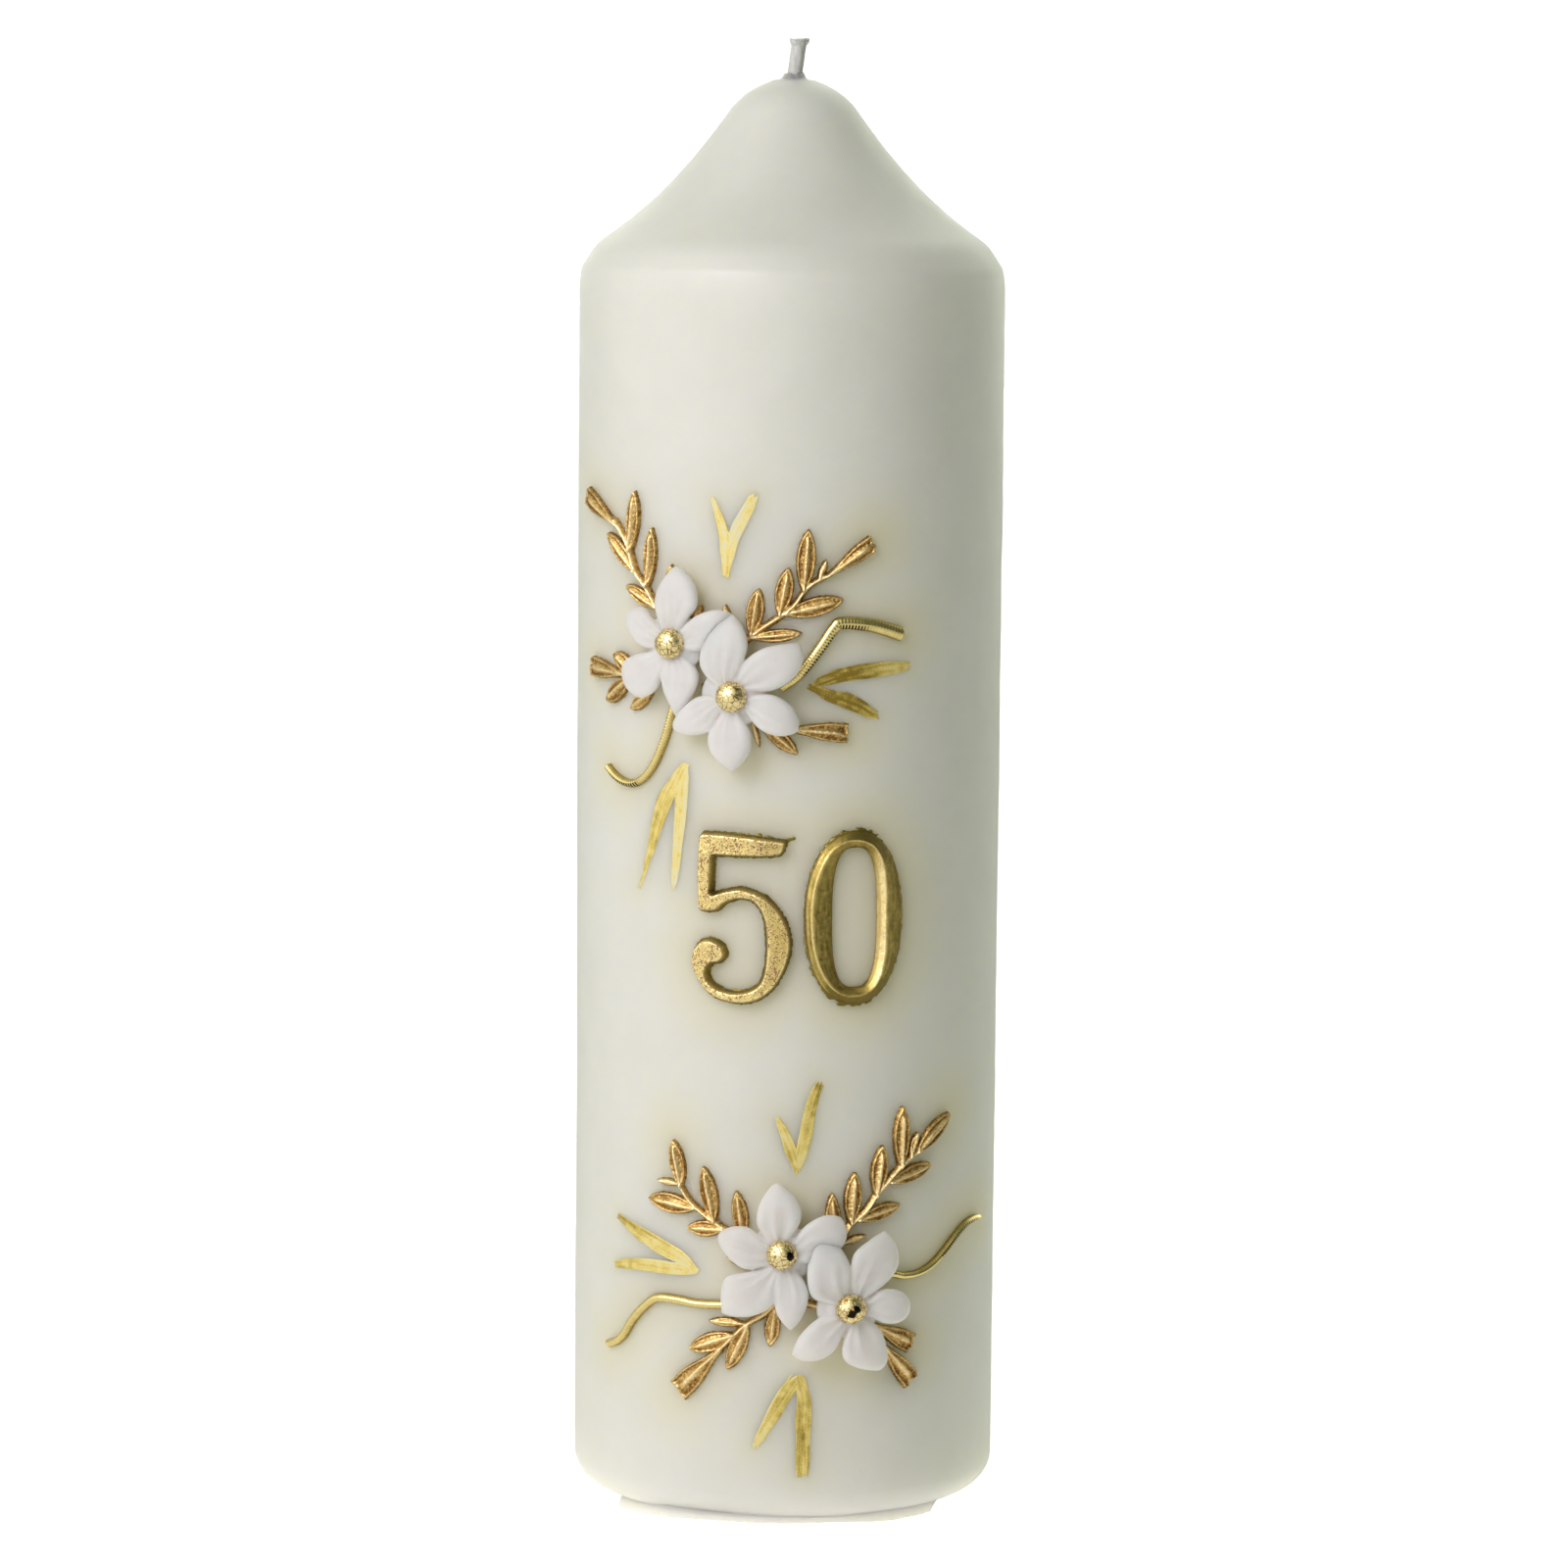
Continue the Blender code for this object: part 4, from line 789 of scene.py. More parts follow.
def brush_gold_material():
    """Dry-brushed gold paint: streaks run along each stroke, and wax shows where the brush ran dry. A heavy
    load turns dark olive, which also serves as painted shade.
    """
    look = Look("brush_gold")
    paint_load_and_shade = look.math("ADD", look.attribute("paint_load_and_shade"), look.grain(0.25, -0.10, 0.10))
    colour = look.ramp(paint_load_and_shade, [(0.05, (0.88, 0.85, 0.72)), (0.25, (0.91, 0.82, 0.43)),
                              (0.45, (0.93, 0.75, 0.26)), (0.70, (0.69, 0.53, 0.13)),
                              (1.00, (0.30, 0.20, 0.02))])
    return look.connect(colour=colour, metallic=look.spread(paint_load_and_shade, 0.1, 0.5, 0.05, 0.35),
                        roughness=look.grain(0.4, 0.40, 0.58), normal=look.bump(look.noise(0.2), 0.03))


def floor_material():
    """White floor that glows round the candle, as a lit table does; the camera sees it plain white."""
    look = Look("studio_floor", roughness=0.8)
    look.set("Specular IOR Level", 0.1)
    distance = look.node("ShaderNodeVectorMath", {0: look.place}, operation="LENGTH").outputs["Value"]
    near = look.spread(distance, *FLOOR_GLOW_NEAR_REACH, FLOOR_GLOW_NEAR, FLOOR_GLOW)
    glow = look.math("MULTIPLY", near, look.spread(distance, *FLOOR_GLOW_REACH, 1.0, 0.0))
    seen = look.node("ShaderNodeLightPath").outputs["Is Camera Ray"]
    look.set("Emission Color", look.mix(seen, (1.0, 0.96, 0.84), (1.0, 1.0, 1.0)))
    look.set("Emission Strength", look.math("ADD", glow, look.math("MULTIPLY", seen, FLOOR_SEEN)))
    colour = look.ramp(look.noise(60.0), [(0.3, (0.92, 0.92, 0.92)), (0.7, (0.94, 0.94, 0.94))])
    return look.connect(colour=colour)


# The candle body, its foot and its wick

def arc(centre, radius, start, end, steps):
    """Points along part of a circle, between two angles."""
    angles = np.linspace(start, end, steps + 1)
    return np.stack([centre[0] + radius * np.cos(angles), centre[1] + radius * np.sin(angles)], axis=1)


def wax_outline():
    """Half outline of the candle, from the wick bore over the head and down to the middle of the base."""
    nose_centre = (0.0, WAX_TOP - NOSE_ROUND)
    nose = arc(nose_centre, NOSE_ROUND, math.acos(WICK_RADIUS / NOSE_ROUND), math.pi / 2 - NOSE_TURN, 60)
    shoulder = arc((WAX_RADIUS - SHOULDER_ROUND, SIDE_TOP), SHOULDER_ROUND, SHOULDER_TURN, 0.0, 24)
    leave = np.array([math.cos(NOSE_TURN), -math.sin(NOSE_TURN)])
    arrive = np.array([math.sin(SHOULDER_TURN), -math.cos(SHOULDER_TURN)])
    pull_down = nose[-1] + leave * HEAD_CURVE_REACH
    pull_up = shoulder[0] - arrive * HEAD_CURVE_REACH
    t = np.linspace(0.0, 1.0, 61)[1:-1, None]
    sweep = (nose[-1] * (1 - t) ** 3 + pull_down * 3 * t * (1 - t) ** 2
             + pull_up * 3 * t ** 2 * (1 - t) + shoulder[0] * t ** 3)
    base = arc((WAX_RADIUS - BASE_ROUND, WAX_BOTTOM + BASE_ROUND), BASE_ROUND, 0.0, -math.pi / 2, 20)
    heights = np.linspace(SIDE_TOP, WAX_BOTTOM + BASE_ROUND, 200)[1:-1]
    side = np.stack([np.full(len(heights), WAX_RADIUS), heights], axis=1)
    return np.concatenate([nose, sweep, shoulder, side, base])


def wax_relief(angle, radius, height):
    """How far the outside stands proud of its outline: dips, drips and the lip under the head."""
    across = angle * WAX_RADIUS
    flank = window(across, 30.0, 42.0, 90.0, 108.0) * window(height, 4.0, 20.0, 190.0, 205.0)
    wrinkles = flank * 0.10 * noise(across, height, 2.6, 5) * noise(across, height * 0.15, 5.0, 6)
    lip = sum(proud * hump(height, place, width) for place, proud, width in LIP)
    crown = sum(proud * hump(radius, place, width) for place, proud, width in CROWN)
    ragged = 0.75 + 0.5 * noise(angle * 2.2, radius * 0.6, 1.0, 7)
    return (wax_unevenness(across, height) + wrinkles + lip
            + crown * smoothstep(WAX_TOP - 2.2, WAX_TOP - 1.2, height) * ragged)


def painted_trim_light(across, height):
    """How strongly the painted warm light of the gold trim nearby tints the wax, from 0 to 1."""
    castings = [sprig["stem"] + [sprig["leaves"][0][1]] for sprig in SPRIGS.values()]
    castings += [strip[0] for strip in STRIPS.values()]
    castings += [[point[:2] for point in FIVE_OUTLINE],
                 superellipse(ZERO_CENTRE, ZERO_OUTER, ZERO_OUTER_POWER, 24),
                 superellipse(ZERO_CENTRE, ZERO_INNER, ZERO_INNER_POWER, 24)]
    strokes = [[point[:2] for point in stroke] for mark in BRUSH_MARKS.values() for stroke in mark]
    nearest = np.full(across.shape, FAR_OFF)
    for lines, cut_off, setback in ((castings, GLOW_CUT_OFF, 0.0),
                                    (strokes, GLOW_BRUSH_CUT_OFF, GLOW_BRUSH_SETBACK)):
        for line in map(np.array, lines):
            if line[:, 1].min() - cut_off < height.max() and line[:, 1].max() + cut_off > height.min():
                nearest = np.minimum(nearest, setback + follow_path(across, height, line)[0])
    for flower in FLOWERS.values():
        from_centre = np.hypot(across - flower["centre"][0], height - flower["centre"][1])
        nearest = np.minimum(nearest, np.maximum(0.0, from_centre - GLOW_FLOWER_RADIUS))
    # Painted warm light also at the bottom of the candle and round the wick, and a quarter stronger towards
    # the right
    ends = BASE_PAINTED_LIGHT * smoothstep(6.0, 3.5, height) + WICK_PAINTED_LIGHT * smoothstep(234.2, 235.0, height)
    strength = 0.75 + 0.25 * smoothstep(-5.0, 15.0, across)
    return np.maximum(strength * hump(nearest, 0.0, GLOW_WIDTH), ends)


def add_wax_body(material):
    """The dipped candle: a turned solid with a wick bore, and the unevenness that dipping leaves."""
    outline = wax_outline()
    tangent = np.gradient(outline, axis=0)
    outward = np.stack([-tangent[:, 1], tangent[:, 0]], axis=1)
    outward /= np.linalg.norm(outward, axis=1, keepdims=True)
    angles = circle_angles(WAX_SIDES)
    signed = (angles + math.pi) % (2 * math.pi) - math.pi
    rings = []
    for (radius, height), direction in zip(outline, outward):
        proud = wax_relief(signed, radius, height)
        rings.append((radius + direction[0] * proud, height + direction[1] * proud))
    plain = [(radius, WAX_BOTTOM) for radius in (20.0, 8.0, WICK_RADIUS)]
    plain += [(WICK_RADIUS, height) for height in np.linspace(WAX_BOTTOM, outline[0][1] - 1.0, 24)[1:]]
    rings += [(np.full(WAX_SIDES, radius), np.full(WAX_SIDES, height)) for radius, height in plain]
    points = [np.stack([radius * np.sin(angles), -radius * np.cos(angles), height], axis=1)
              for radius, height in rings]
    faces = []
    for ring in range(len(rings)):
        here, beyond = ring * WAX_SIDES, (ring + 1) % len(rings) * WAX_SIDES
        for side in range(WAX_SIDES):
            following = (side + 1) % WAX_SIDES
            faces.append((here + side, beyond + side, beyond + following, here + following))
    # Painted warm light of the trim, kept on the wax for its material
    painted_warm_light = np.concatenate([painted_trim_light(signed * WAX_RADIUS, height) for _, height in rings])
    add_piece("wax_body", np.concatenate(points) * MM, faces, material,
              ["wax_coat", "candle_core"], {"painted_warm_light": painted_warm_light})


def add_foot(material):
    """The levelled wax under the base: it shows along the front and breaks off raggedly at both sides."""
    angles = circle_angles(FOOT_SIDES)
    flat = np.zeros(FOOT_SIDES)
    from_front = (angles + 1.5 * math.pi) % (2 * math.pi) - math.pi
    torn = 0.22 * noise(angles * 9.0, flat, 1.0, 11) + 0.16 * noise(angles * 31.0, flat, 1.0, 12)
    shown = window(from_front, *FOOT_SHOWN)
    edge = FOOT_HIDDEN_RADIUS + (FOOT_SHOWN_RADIUS - FOOT_HIDDEN_RADIUS) * shown
    lean = 1.0 - 1.6 * smoothstep(-0.6, -1.0, from_front)
    lifted = window(from_front, *FOOT_LIFTED)
    rings = [(edge * share, lifted * rise) for share, rise in FOOT_UNDERSIDE]
    for flare, height in FOOT_WALL:
        lowness = 1.0 - height / FOOT_TORN_TOP
        rings.append((edge + torn * lowness + flare * lean, height + lifted * lowness))
    rings += [(edge * share, flat + FOOT_TOP) for share in (0.9, 0.4)]
    points = [np.stack([radius * np.cos(angles) + FOOT_OFFSET_X, radius * np.sin(angles), height], axis=1)
              for radius, height in rings]
    points.append(np.array([[FOOT_OFFSET_X, 0.0, 0.0], [FOOT_OFFSET_X, 0.0, FOOT_TOP]]))
    points = np.concatenate(points) * MM
    # The foot gets the painted warm light of the candle's bottom
    add_piece("levelling_foot", points, tube_faces(len(rings), FOOT_SIDES), material,
              ["base_foot"], {"painted_warm_light": np.full(len(points), BASE_PAINTED_LIGHT)})


def add_wick(material):
    """Braided, waxed wick up the bore, leaning over the wax, with a cut end that has splayed."""
    heights = np.concatenate([np.linspace(WICK_BOTTOM, WICK_FINE_FROM, 40),
                              np.linspace(WICK_FINE_FROM + 0.3, WICK_TIP, 93)])
    angles = circle_angles(WICK_SIDES)
    flat = np.zeros(WICK_SIDES)
    points = []
    for height in heights:
        lean = max(0.0, height - WICK_LEAN_START) * math.tan(WICK_LEAN)
        plait = np.maximum(np.sin(3 * angles + PLAIT_TURN * height), np.sin(3 * angles - PLAIT_TURN * height))
        splay = smoothstep(WICK_TIP - 1.3, WICK_TIP, height)
        radius = (WICK_RADIUS * (1.0 + 0.035 * plait * (height > WAX_TOP))
                  - 0.22 * hump(angles, 5.6, 0.22) * (height > WAX_TOP)
                  + splay * (0.30 + 0.22 * noise(angles * 3.0, flat, 1.0, 21)))
        drop = splay * 0.35 * noise(angles * 2.5, flat, 1.0, 22)
        points.append(np.stack([radius * np.cos(angles) + lean, radius * np.sin(angles), height + drop],
                               axis=1))
    tip_lean = (WICK_TIP - WICK_LEAN_START) * math.tan(WICK_LEAN)
    points.append(np.array([[0.0, 0.0, WICK_BOTTOM], [tip_lean, 0.0, WICK_TIP - 0.45]]))
    solids = [(np.concatenate(points), tube_faces(len(heights), WICK_SIDES))]
    for index in range(WICK_FIBRES):
        angle = 2 * math.pi * (index + 0.4 * math.sin(index * 12.9)) / WICK_FIBRES
        solids.append(splayed_fibre(angle, index, tip_lean))
    points, faces = joined(solids)
    add_piece("wick_braid", points * MM, faces, material, ["wick"])


def splayed_fibre(angle, index, tip_lean):
    """One tapering strand that sticks out of the cut end."""
    reach = 0.35 + 0.3 * abs(math.sin(index * 7.3))
    outward = np.array([math.cos(angle), math.sin(angle), 0.0])
    sideways = np.array([-outward[1], outward[0], 0.0])
    upward = np.array([0.0, 0.0, 1.0])
    start = np.array([tip_lean, 0.0, WICK_TIP - 0.25]) + outward * WICK_RADIUS
    sides, steps = 6, 5
    points = []
    for t in np.linspace(0.0, 1.0, steps):
        centre = start + outward * reach * t + upward * 0.45 * t * math.sin(index * 3.7)
        radius = FIBRE_THICKNESS * (1.0 - 0.8 * t)
        for turn in circle_angles(sides):
            points.append(centre + (sideways * math.cos(turn) + upward * math.sin(turn)) * radius)
    points += [start, start + outward * (reach + 0.04)]
    return np.array(points), tube_faces(steps, sides)


# Sprigs

def leaf_half_width(share, width, cut):
    """Half width of a leaf at a share of its length; a cut leaf is still widening where it ends."""
    if cut:
        return width / 2 * (0.30 + 0.70 * smoothstep(0.0, 0.8, share))
    return width / 2 * np.sin(math.pi * np.clip(share, 0.001, 0.999) ** 1.12) ** 0.64


def leaf_field(across, up, leaf, seed):
    """Distance in from the leaf's edge, and the relief and tone of its top."""
    base, tip, width, *cut = leaf
    direction = np.array(tip) - np.array(base)
    length = np.hypot(*direction)
    offset_x = across - base[0]
    offset_y = up - base[1]
    reach = (offset_x * direction[0] + offset_y * direction[1]) / length
    side = (direction[0] * offset_y - direction[1] * offset_x) / length
    share = np.clip(reach / length, 0.001, 0.999)
    half = leaf_half_width(share, width, cut)
    wider = leaf_half_width(share + 0.001, width, cut) - leaf_half_width(share - 0.001, width, cut)
    edge = (half - np.abs(side)) / np.hypot(1.0, wider / 0.002 / length)
    outside = np.maximum(-reach, reach - length)
    edge = np.where(outside > 0, -np.hypot(outside, np.maximum(0.0, np.abs(side) - half)), edge)
    if cut:
        edge = np.minimum(edge, length + 0.5 * noise(side, reach * 0.2, 0.5, seed) - reach)
    rib_width = 0.12 + 0.22 * half
    fading = smoothstep(1.0, 0.75, share)
    rounded = rounding(edge, 0.35)
    rim = hump(edge, 0.30, 0.13)
    rib = hump(side, 0.0, rib_width) * fading
    veins = 0.06 * noise(side, reach * 0.15, 0.28, seed + 1)
    bulk = min(1.0, 0.55 + width / 7)
    relief = bulk * (0.12 + 0.48 * rounded + 0.28 * rim + 0.66 * rib) + veins
    tone = 0.12 + 0.44 * rim + 0.70 * rib * (0.4 + 0.6 * rounded) + 2.2 * veins
    return edge, relief, tone


def sprig_fields(across, up, sprig, path, seed):
    """The joined fields of a sprig's stem and leaves."""
    distance, side, along, _ = follow_path(across, up, path)
    half = 0.72 - 0.22 * along / np.maximum(along.max(), 1.0)
    edge = half - distance
    ridge = hump(distance, 0.0, 0.26)
    rounded = rounding(edge, 0.4)
    relief = 0.12 + 0.5 * rounded + 0.5 * ridge
    tone = 0.2 + 0.8 * ridge
    for index, leaf in enumerate(sprig["leaves"]):
        leaf_edge, leaf_relief, leaf_tone = leaf_field(across, up, leaf, seed + 7 * index)
        inside_leaf = leaf_edge > 0
        higher = inside_leaf & (leaf_relief > relief)
        relief = np.where(inside_leaf & (edge > 0), smooth_max(leaf_relief, relief, 0.12),
                          np.where(inside_leaf, leaf_relief, relief))
        tone = np.where(higher | (inside_leaf & (edge <= 0)), leaf_tone, tone)
        edge = np.maximum(edge, leaf_edge)
    return edge, relief, tone


def add_sprig(name, sprig, material, seed):
    """A cast sprig of leaves."""
    path = smooth_path(sprig["stem"], 0.6)
    ends = np.array([point for leaf in sprig["leaves"] for point in leaf[:2]] + sprig["stem"])

    def inside(across, up):
        edge = sprig_fields(across, up, sprig, path, seed)[0]
        return edge + 0.07 * noise(across, up, 0.6, seed) + 0.04 * noise(across, up, 0.25, seed + 2)

    def shape(across, up):
        edge, relief, tone = sprig_fields(across, up, sprig, path, seed)
        rough = noise(across, up, 0.3, seed + 3)
        return np.maximum(relief + 0.06 * rough, 0.08), {"tone": tone + 0.12 * rough}

    add_casting(name + "_casting", ends, LEAF_MARGIN, LEAF_GRID, inside, shape, material, name)


# Numerals

def smooth_outline(outline, steps=7):
    """A dense closed outline: straight into sharp corners and smooth through the other points."""
    points = [np.array(point[:2]) for point in outline]
    sharp = [len(point) > 2 for point in outline]
    count = len(points)
    dense = []
    for index in range(count):
        following = (index + 1) % count
        start, end = points[index], points[following]
        chord = end - start
        slopes = []
        for is_sharp, slope in ((sharp[index], end - points[index - 1]),
                                (sharp[following], points[(index + 2) % count] - start)):
            even = slope / np.linalg.norm(slope) * np.linalg.norm(chord)
            slopes.append(chord if is_sharp else even)
        for step in range(steps):
            dense.append(hermite(start, slopes[0], end, slopes[1], step / steps))
    return np.array(dense)


def superellipse(centre, semi_axes, power, count=120):
    """Points round an oval that gets squarer as power rises above 2."""
    angles = circle_angles(count)
    return np.stack([centre[0] + semi_axes[0] * signed_power(np.cos(angles), 2 / power),
                     centre[1] + semi_axes[1] * signed_power(np.sin(angles), 2 / power)], axis=1)


def add_numeral_five(material):
    """The cast figure 5: a flat, pitted face with bevelled edges."""
    outline = smooth_outline(FIVE_OUTLINE)

    def flash(across, up):
        """Width of the ragged fringe of wax round the foot of the casting."""
        ragged = 0.14 * noise(across, up, 0.45, 41) + 0.10 * noise(across, up, 0.2, 42)
        top_right = smoothstep(-11.0, -6.0, across) * smoothstep(113.0, 114.5, up)
        return 0.06 + ragged * 0.6 + 0.35 * top_right * (0.5 + noise(across, up, 0.7, 43))

    def inside(across, up):
        thorn = FIVE_THORN_RADIUS - follow_path(across, up, np.array(FIVE_THORN))[0]
        return np.maximum(signed_distance(across, up, outline) + flash(across, up), thorn)

    def shape(across, up):
        edge = signed_distance(across, up, outline)
        bevel = smoothstep(0.0, 0.62, edge)
        face = 0.03 * noise(across, up, 0.5, 44) + 0.10 * noise(across, up, 3.0, 45)
        relief = NUMERAL_EDGE + (NUMERAL_TOP - NUMERAL_EDGE) * bevel ** 0.8 + face * bevel
        tone = 0.05 + 0.64 * bevel ** 2 + 0.25 * hump(edge, 0.66, 0.14)
        # Painted shade: the tone is lowered towards the right of the five, which lies away from the light
        return relief, {"tone": tone - 0.15 * smoothstep(-7.0, -2.0, across), "pitted": bevel}

    add_casting("five_casting", outline, NUMERAL_MARGIN, NUMERAL_GRID, inside, shape, material,
                "numeral_five")


def add_numeral_zero(material):
    """The cast figure 0: its crest runs near the inner edge on the right and the outer edge on the left."""
    outer = superellipse(ZERO_CENTRE, ZERO_OUTER, ZERO_OUTER_POWER)
    inner = superellipse(ZERO_CENTRE, ZERO_INNER, ZERO_INNER_POWER)

    def flash(across, up):
        """Width of the ragged fringe; it is widest at both ends and at the lower left."""
        ragged = 0.12 * noise(across, up, 0.5, 51) + 0.10 * noise(across, up, 0.22, 52)
        right, above = across - ZERO_CENTRE[0], up - ZERO_CENTRE[1]
        ends = smoothstep(11.5, 13.5, np.abs(above))
        lower_left = smoothstep(2.0, -6.0, right) * smoothstep(2.0, -8.0, above)
        return 0.05 + ragged * 0.6 + (0.3 * ends + 0.25 * lower_left) * (0.5 + noise(across, up, 0.6, 53))

    def inside(across, up):
        return np.minimum(signed_distance(across, up, outer) + flash(across, up),
                          -signed_distance(across, up, inner))

    def shape(across, up):
        from_outer = signed_distance(across, up, outer)
        from_inner = -signed_distance(across, up, inner)
        share = np.clip(from_inner / np.maximum(from_inner + from_outer, 0.01), 0.0, 1.0)
        turn = np.arctan2((up - ZERO_CENTRE[1]) / ZERO_OUTER[1], (across - ZERO_CENTRE[0]) / ZERO_OUTER[0])
        ridge = 0.48 - 0.28 * np.cos(turn)
        climb = np.minimum(share / ridge, (1.0 - share) / (1.0 - ridge))
        wall = smoothstep(0.0, 0.3, np.minimum(from_inner, from_outer))
        crest = hump(climb, 1.0, 0.10)
        leftward = -np.cos(turn)
        second_crest = hump(share, 0.93, 0.035) * smoothstep(-0.2, 0.5, leftward)
        brushed = noise(share * 4.0, turn * 2.0, 0.3, 55)
        outer_slope = share > ridge
        # Painted light: the slopes that face left, towards the light, are brighter, the inner slope on the
        # right most of all
        painted_lit_slopes = np.where(outer_slope, 0.12 * smoothstep(0.1, 0.8, leftward),
                          0.70 * smoothstep(0.1, 0.8, -leftward))
        profile = 0.35 + 1.15 * climb - 0.06 * crest + 0.08 * second_crest + 0.03 * brushed
        relief = NUMERAL_EDGE + wall * profile + 0.03 * noise(across, up, 0.5, 54)
        tone = 0.10 + 0.14 * climb + 0.55 * crest + painted_lit_slopes + 0.4 * second_crest + 0.12 * brushed
        tone -= 0.5 * smoothstep(0.70, 1.0, np.abs(np.sin(turn))) * outer_slope
        return relief, {"tone": tone - 0.12 * (1 - wall), "pitted": 0.35 * wall}

    add_casting("zero_casting", outer, NUMERAL_MARGIN, NUMERAL_GRID, inside, shape, material,
                "numeral_zero")


# Flowers and beads

def from_table(table, share):
    """A smooth curve through (share, value) pairs."""
    shares, values = zip(*table)
    slopes = np.gradient(values, shares)
    index = np.clip(np.searchsorted(shares, share) - 1, 0, len(shares) - 2)
    shares, values = np.array(shares), np.array(values)
    span = shares[index + 1] - shares[index]
    t = (share - shares[index]) / span
    return hermite(values[index], slopes[index] * span, values[index + 1], slopes[index + 1] * span, t)


def petal_solid(centre, petal, seed):
    """A closed pillow between a petal's two edges, with shallow grooves fanning from the centre."""
    rings, sides = 44, 40
    first_edge, tip, second_edge = petal
    first = smooth_path([centre, *first_edge, tip], 0.3)
    second = smooth_path([centre, *second_edge, tip], 0.3)
    turns = circle_angles(sides)
    side = signed_power(np.cos(turns), 0.85)
    rise = signed_power(np.sin(turns), 0.80)
    points = []
    for ring in range(rings):
        share = 0.5 - 0.5 * math.cos(math.pi * (ring + 0.5) / rings)
        start = path_point(first, share)
        end = path_point(second, share)
        thickness = from_table(PETAL_THICKNESS, share)
        depth = np.zeros(sides)
        for place, groove_depth in PETAL_GROOVES:
            shifted = place + 0.08 * math.sin(seed + 9 * place)
            depth += groove_depth * hump(side, shifted, GROOVE_WIDTH)
        depth *= window(share, 0.08, 0.2, 0.4, 0.75) * (rise > 0)
        wobble = 0.12 * math.sin(6 * share + seed) * side
        relief = PETAL_LEVEL + from_table(PETAL_RISE, share) + thickness * rise + wobble - depth
        place = (start + end)[None, :] / 2 + (end - start)[None, :] / 2 * side[:, None]
        points.append(np.column_stack([place, relief]))
    points.append(np.array([(*centre, PETAL_LEVEL), (*tip, PETAL_LEVEL + PETAL_RISE[-1][1])]))
    return np.concatenate(points), tube_faces(rings, sides)


def path_point(path, share):
    """The point a share of the way through a path's rows."""
    rows = np.arange(len(path))
    return np.array([np.interp(share * rows[-1], rows, path[:, axis]) for axis in (0, 1)])


def blob_solid(centre, radius, low, high):
    """A squashed ball, standing between two reliefs."""
    rings, sides = 16, 32
    turns = circle_angles(sides)
    points = []
    for ring in range(rings):
        tilt = math.pi * (ring + 0.5) / rings
        reach = radius * math.sin(tilt) ** 0.7
        level = (low + high) / 2 - (high - low) / 2 * math.cos(tilt)
        points.append(np.column_stack([centre[0] + reach * np.cos(turns), centre[1] + reach * np.sin(turns),
                                       np.full(sides, level)]))
    points.append(np.array([(*centre, low), (*centre, high)]))
    return np.concatenate(points), tube_faces(rings, sides)


def fused(solids, voxel, smoothing):
    """Melt closed solids into one skin, and return its points and faces."""
    points, faces = joined(solids)
    mesh = bpy.data.meshes.new("melt")
    mesh.from_pydata(points.tolist(), [], faces)
    bm = bmesh.new()
    bm.from_mesh(mesh)
    bmesh.ops.recalc_face_normals(bm, faces=bm.faces)
    bm.to_mesh(mesh)
    bm.free()
    holder = add_object("melt", mesh)
    remesh = holder.modifiers.new("Melt", "REMESH")
    remesh.mode = "VOXEL"
    remesh.voxel_size = voxel
    smooth = holder.modifiers.new("Smooth", "SMOOTH")
    smooth.factor = 0.5
    smooth.iterations = smoothing
    bpy.context.view_layer.update()
    depsgraph = bpy.context.evaluated_depsgraph_get()
    skin = bpy.data.meshes.new_from_object(holder.evaluated_get(depsgraph), depsgraph=depsgraph)
    bpy.data.objects.remove(holder, do_unlink=True)
    melted = np.empty(len(skin.vertices) * 3)
    skin.vertices.foreach_get("co", melted)
    return melted.reshape(-1, 3), [tuple(face.vertices) for face in skin.polygons]


def add_flower(name, flower, material, seed):
    """A pressed wax flower: petals fused to the heart behind them."""
    solids = [petal_solid(flower["centre"], petal, seed + 3.1 * index)
              for index, petal in enumerate(flower["petals"])]
    solids += [blob_solid(flower[place], radius, low, high) for place, radius, low, high in FLOWER_HEART]
    points, faces = fused(solids, FLOWER_VOXEL, FLOWER_SMOOTHING)
    points[:, 2] += flower["lift"] * smoothstep(0.3, 1.6, points[:, 2])
    add_piece(name + "_wax", wrap(points), faces, material, [name])


def add_bead(name, flower, material, seed):
    """An oval gold bead whose leaf has crazed into small, slightly tilted plates."""
    level = BEAD_LEVEL + flower["lift"]
    rings, sides = 72, 144
    offset = Vector((seed, 0.0, 0.0))
    points, crazed, bare = [], [], []
    for ring in range(rings):
        tilt = BEAD_SWEEP * (rings - ring - 0.5) / rings
        for side in range(sides):
            turn = 2 * math.pi * side / sides
            direction = Vector((math.sin(tilt) * math.cos(turn), math.sin(tilt) * math.sin(turn),
                                math.cos(tilt)))
            spot = direction * PLATES_PER_RADIUS + offset
            distances, plates = blender_noise.voronoi(spot)
            crack = 1.0 - smoothstep(0.02, 0.12, distances[1] - distances[0])
            radius = BEAD_RADIUS * (1.0 - 0.018 * crack + plate_lean(plates[0]).dot(spot - plates[0]))
            points.append((flower["centre"][0] + radius * direction.x,
                           flower["centre"][1] + BEAD_STRETCH * radius * direction.y,
                           level + radius * direction.z))
            crazed.append(crack)
            bare.append(name in BARE_SPOTS and plate_is_bare(plates[0], offset, Vector(BARE_SPOTS[name])))
    points += [(*flower["centre"], level - 0.6), (*flower["centre"], level + BEAD_RADIUS)]
    add_piece(name + "_dome", wrap(np.array(points)), tube_faces(rings, sides), material,
              [name], {"crazed": np.append(crazed, [0.0, 0.0]), "bare": np.append(bare, [0.0, 0.0])})


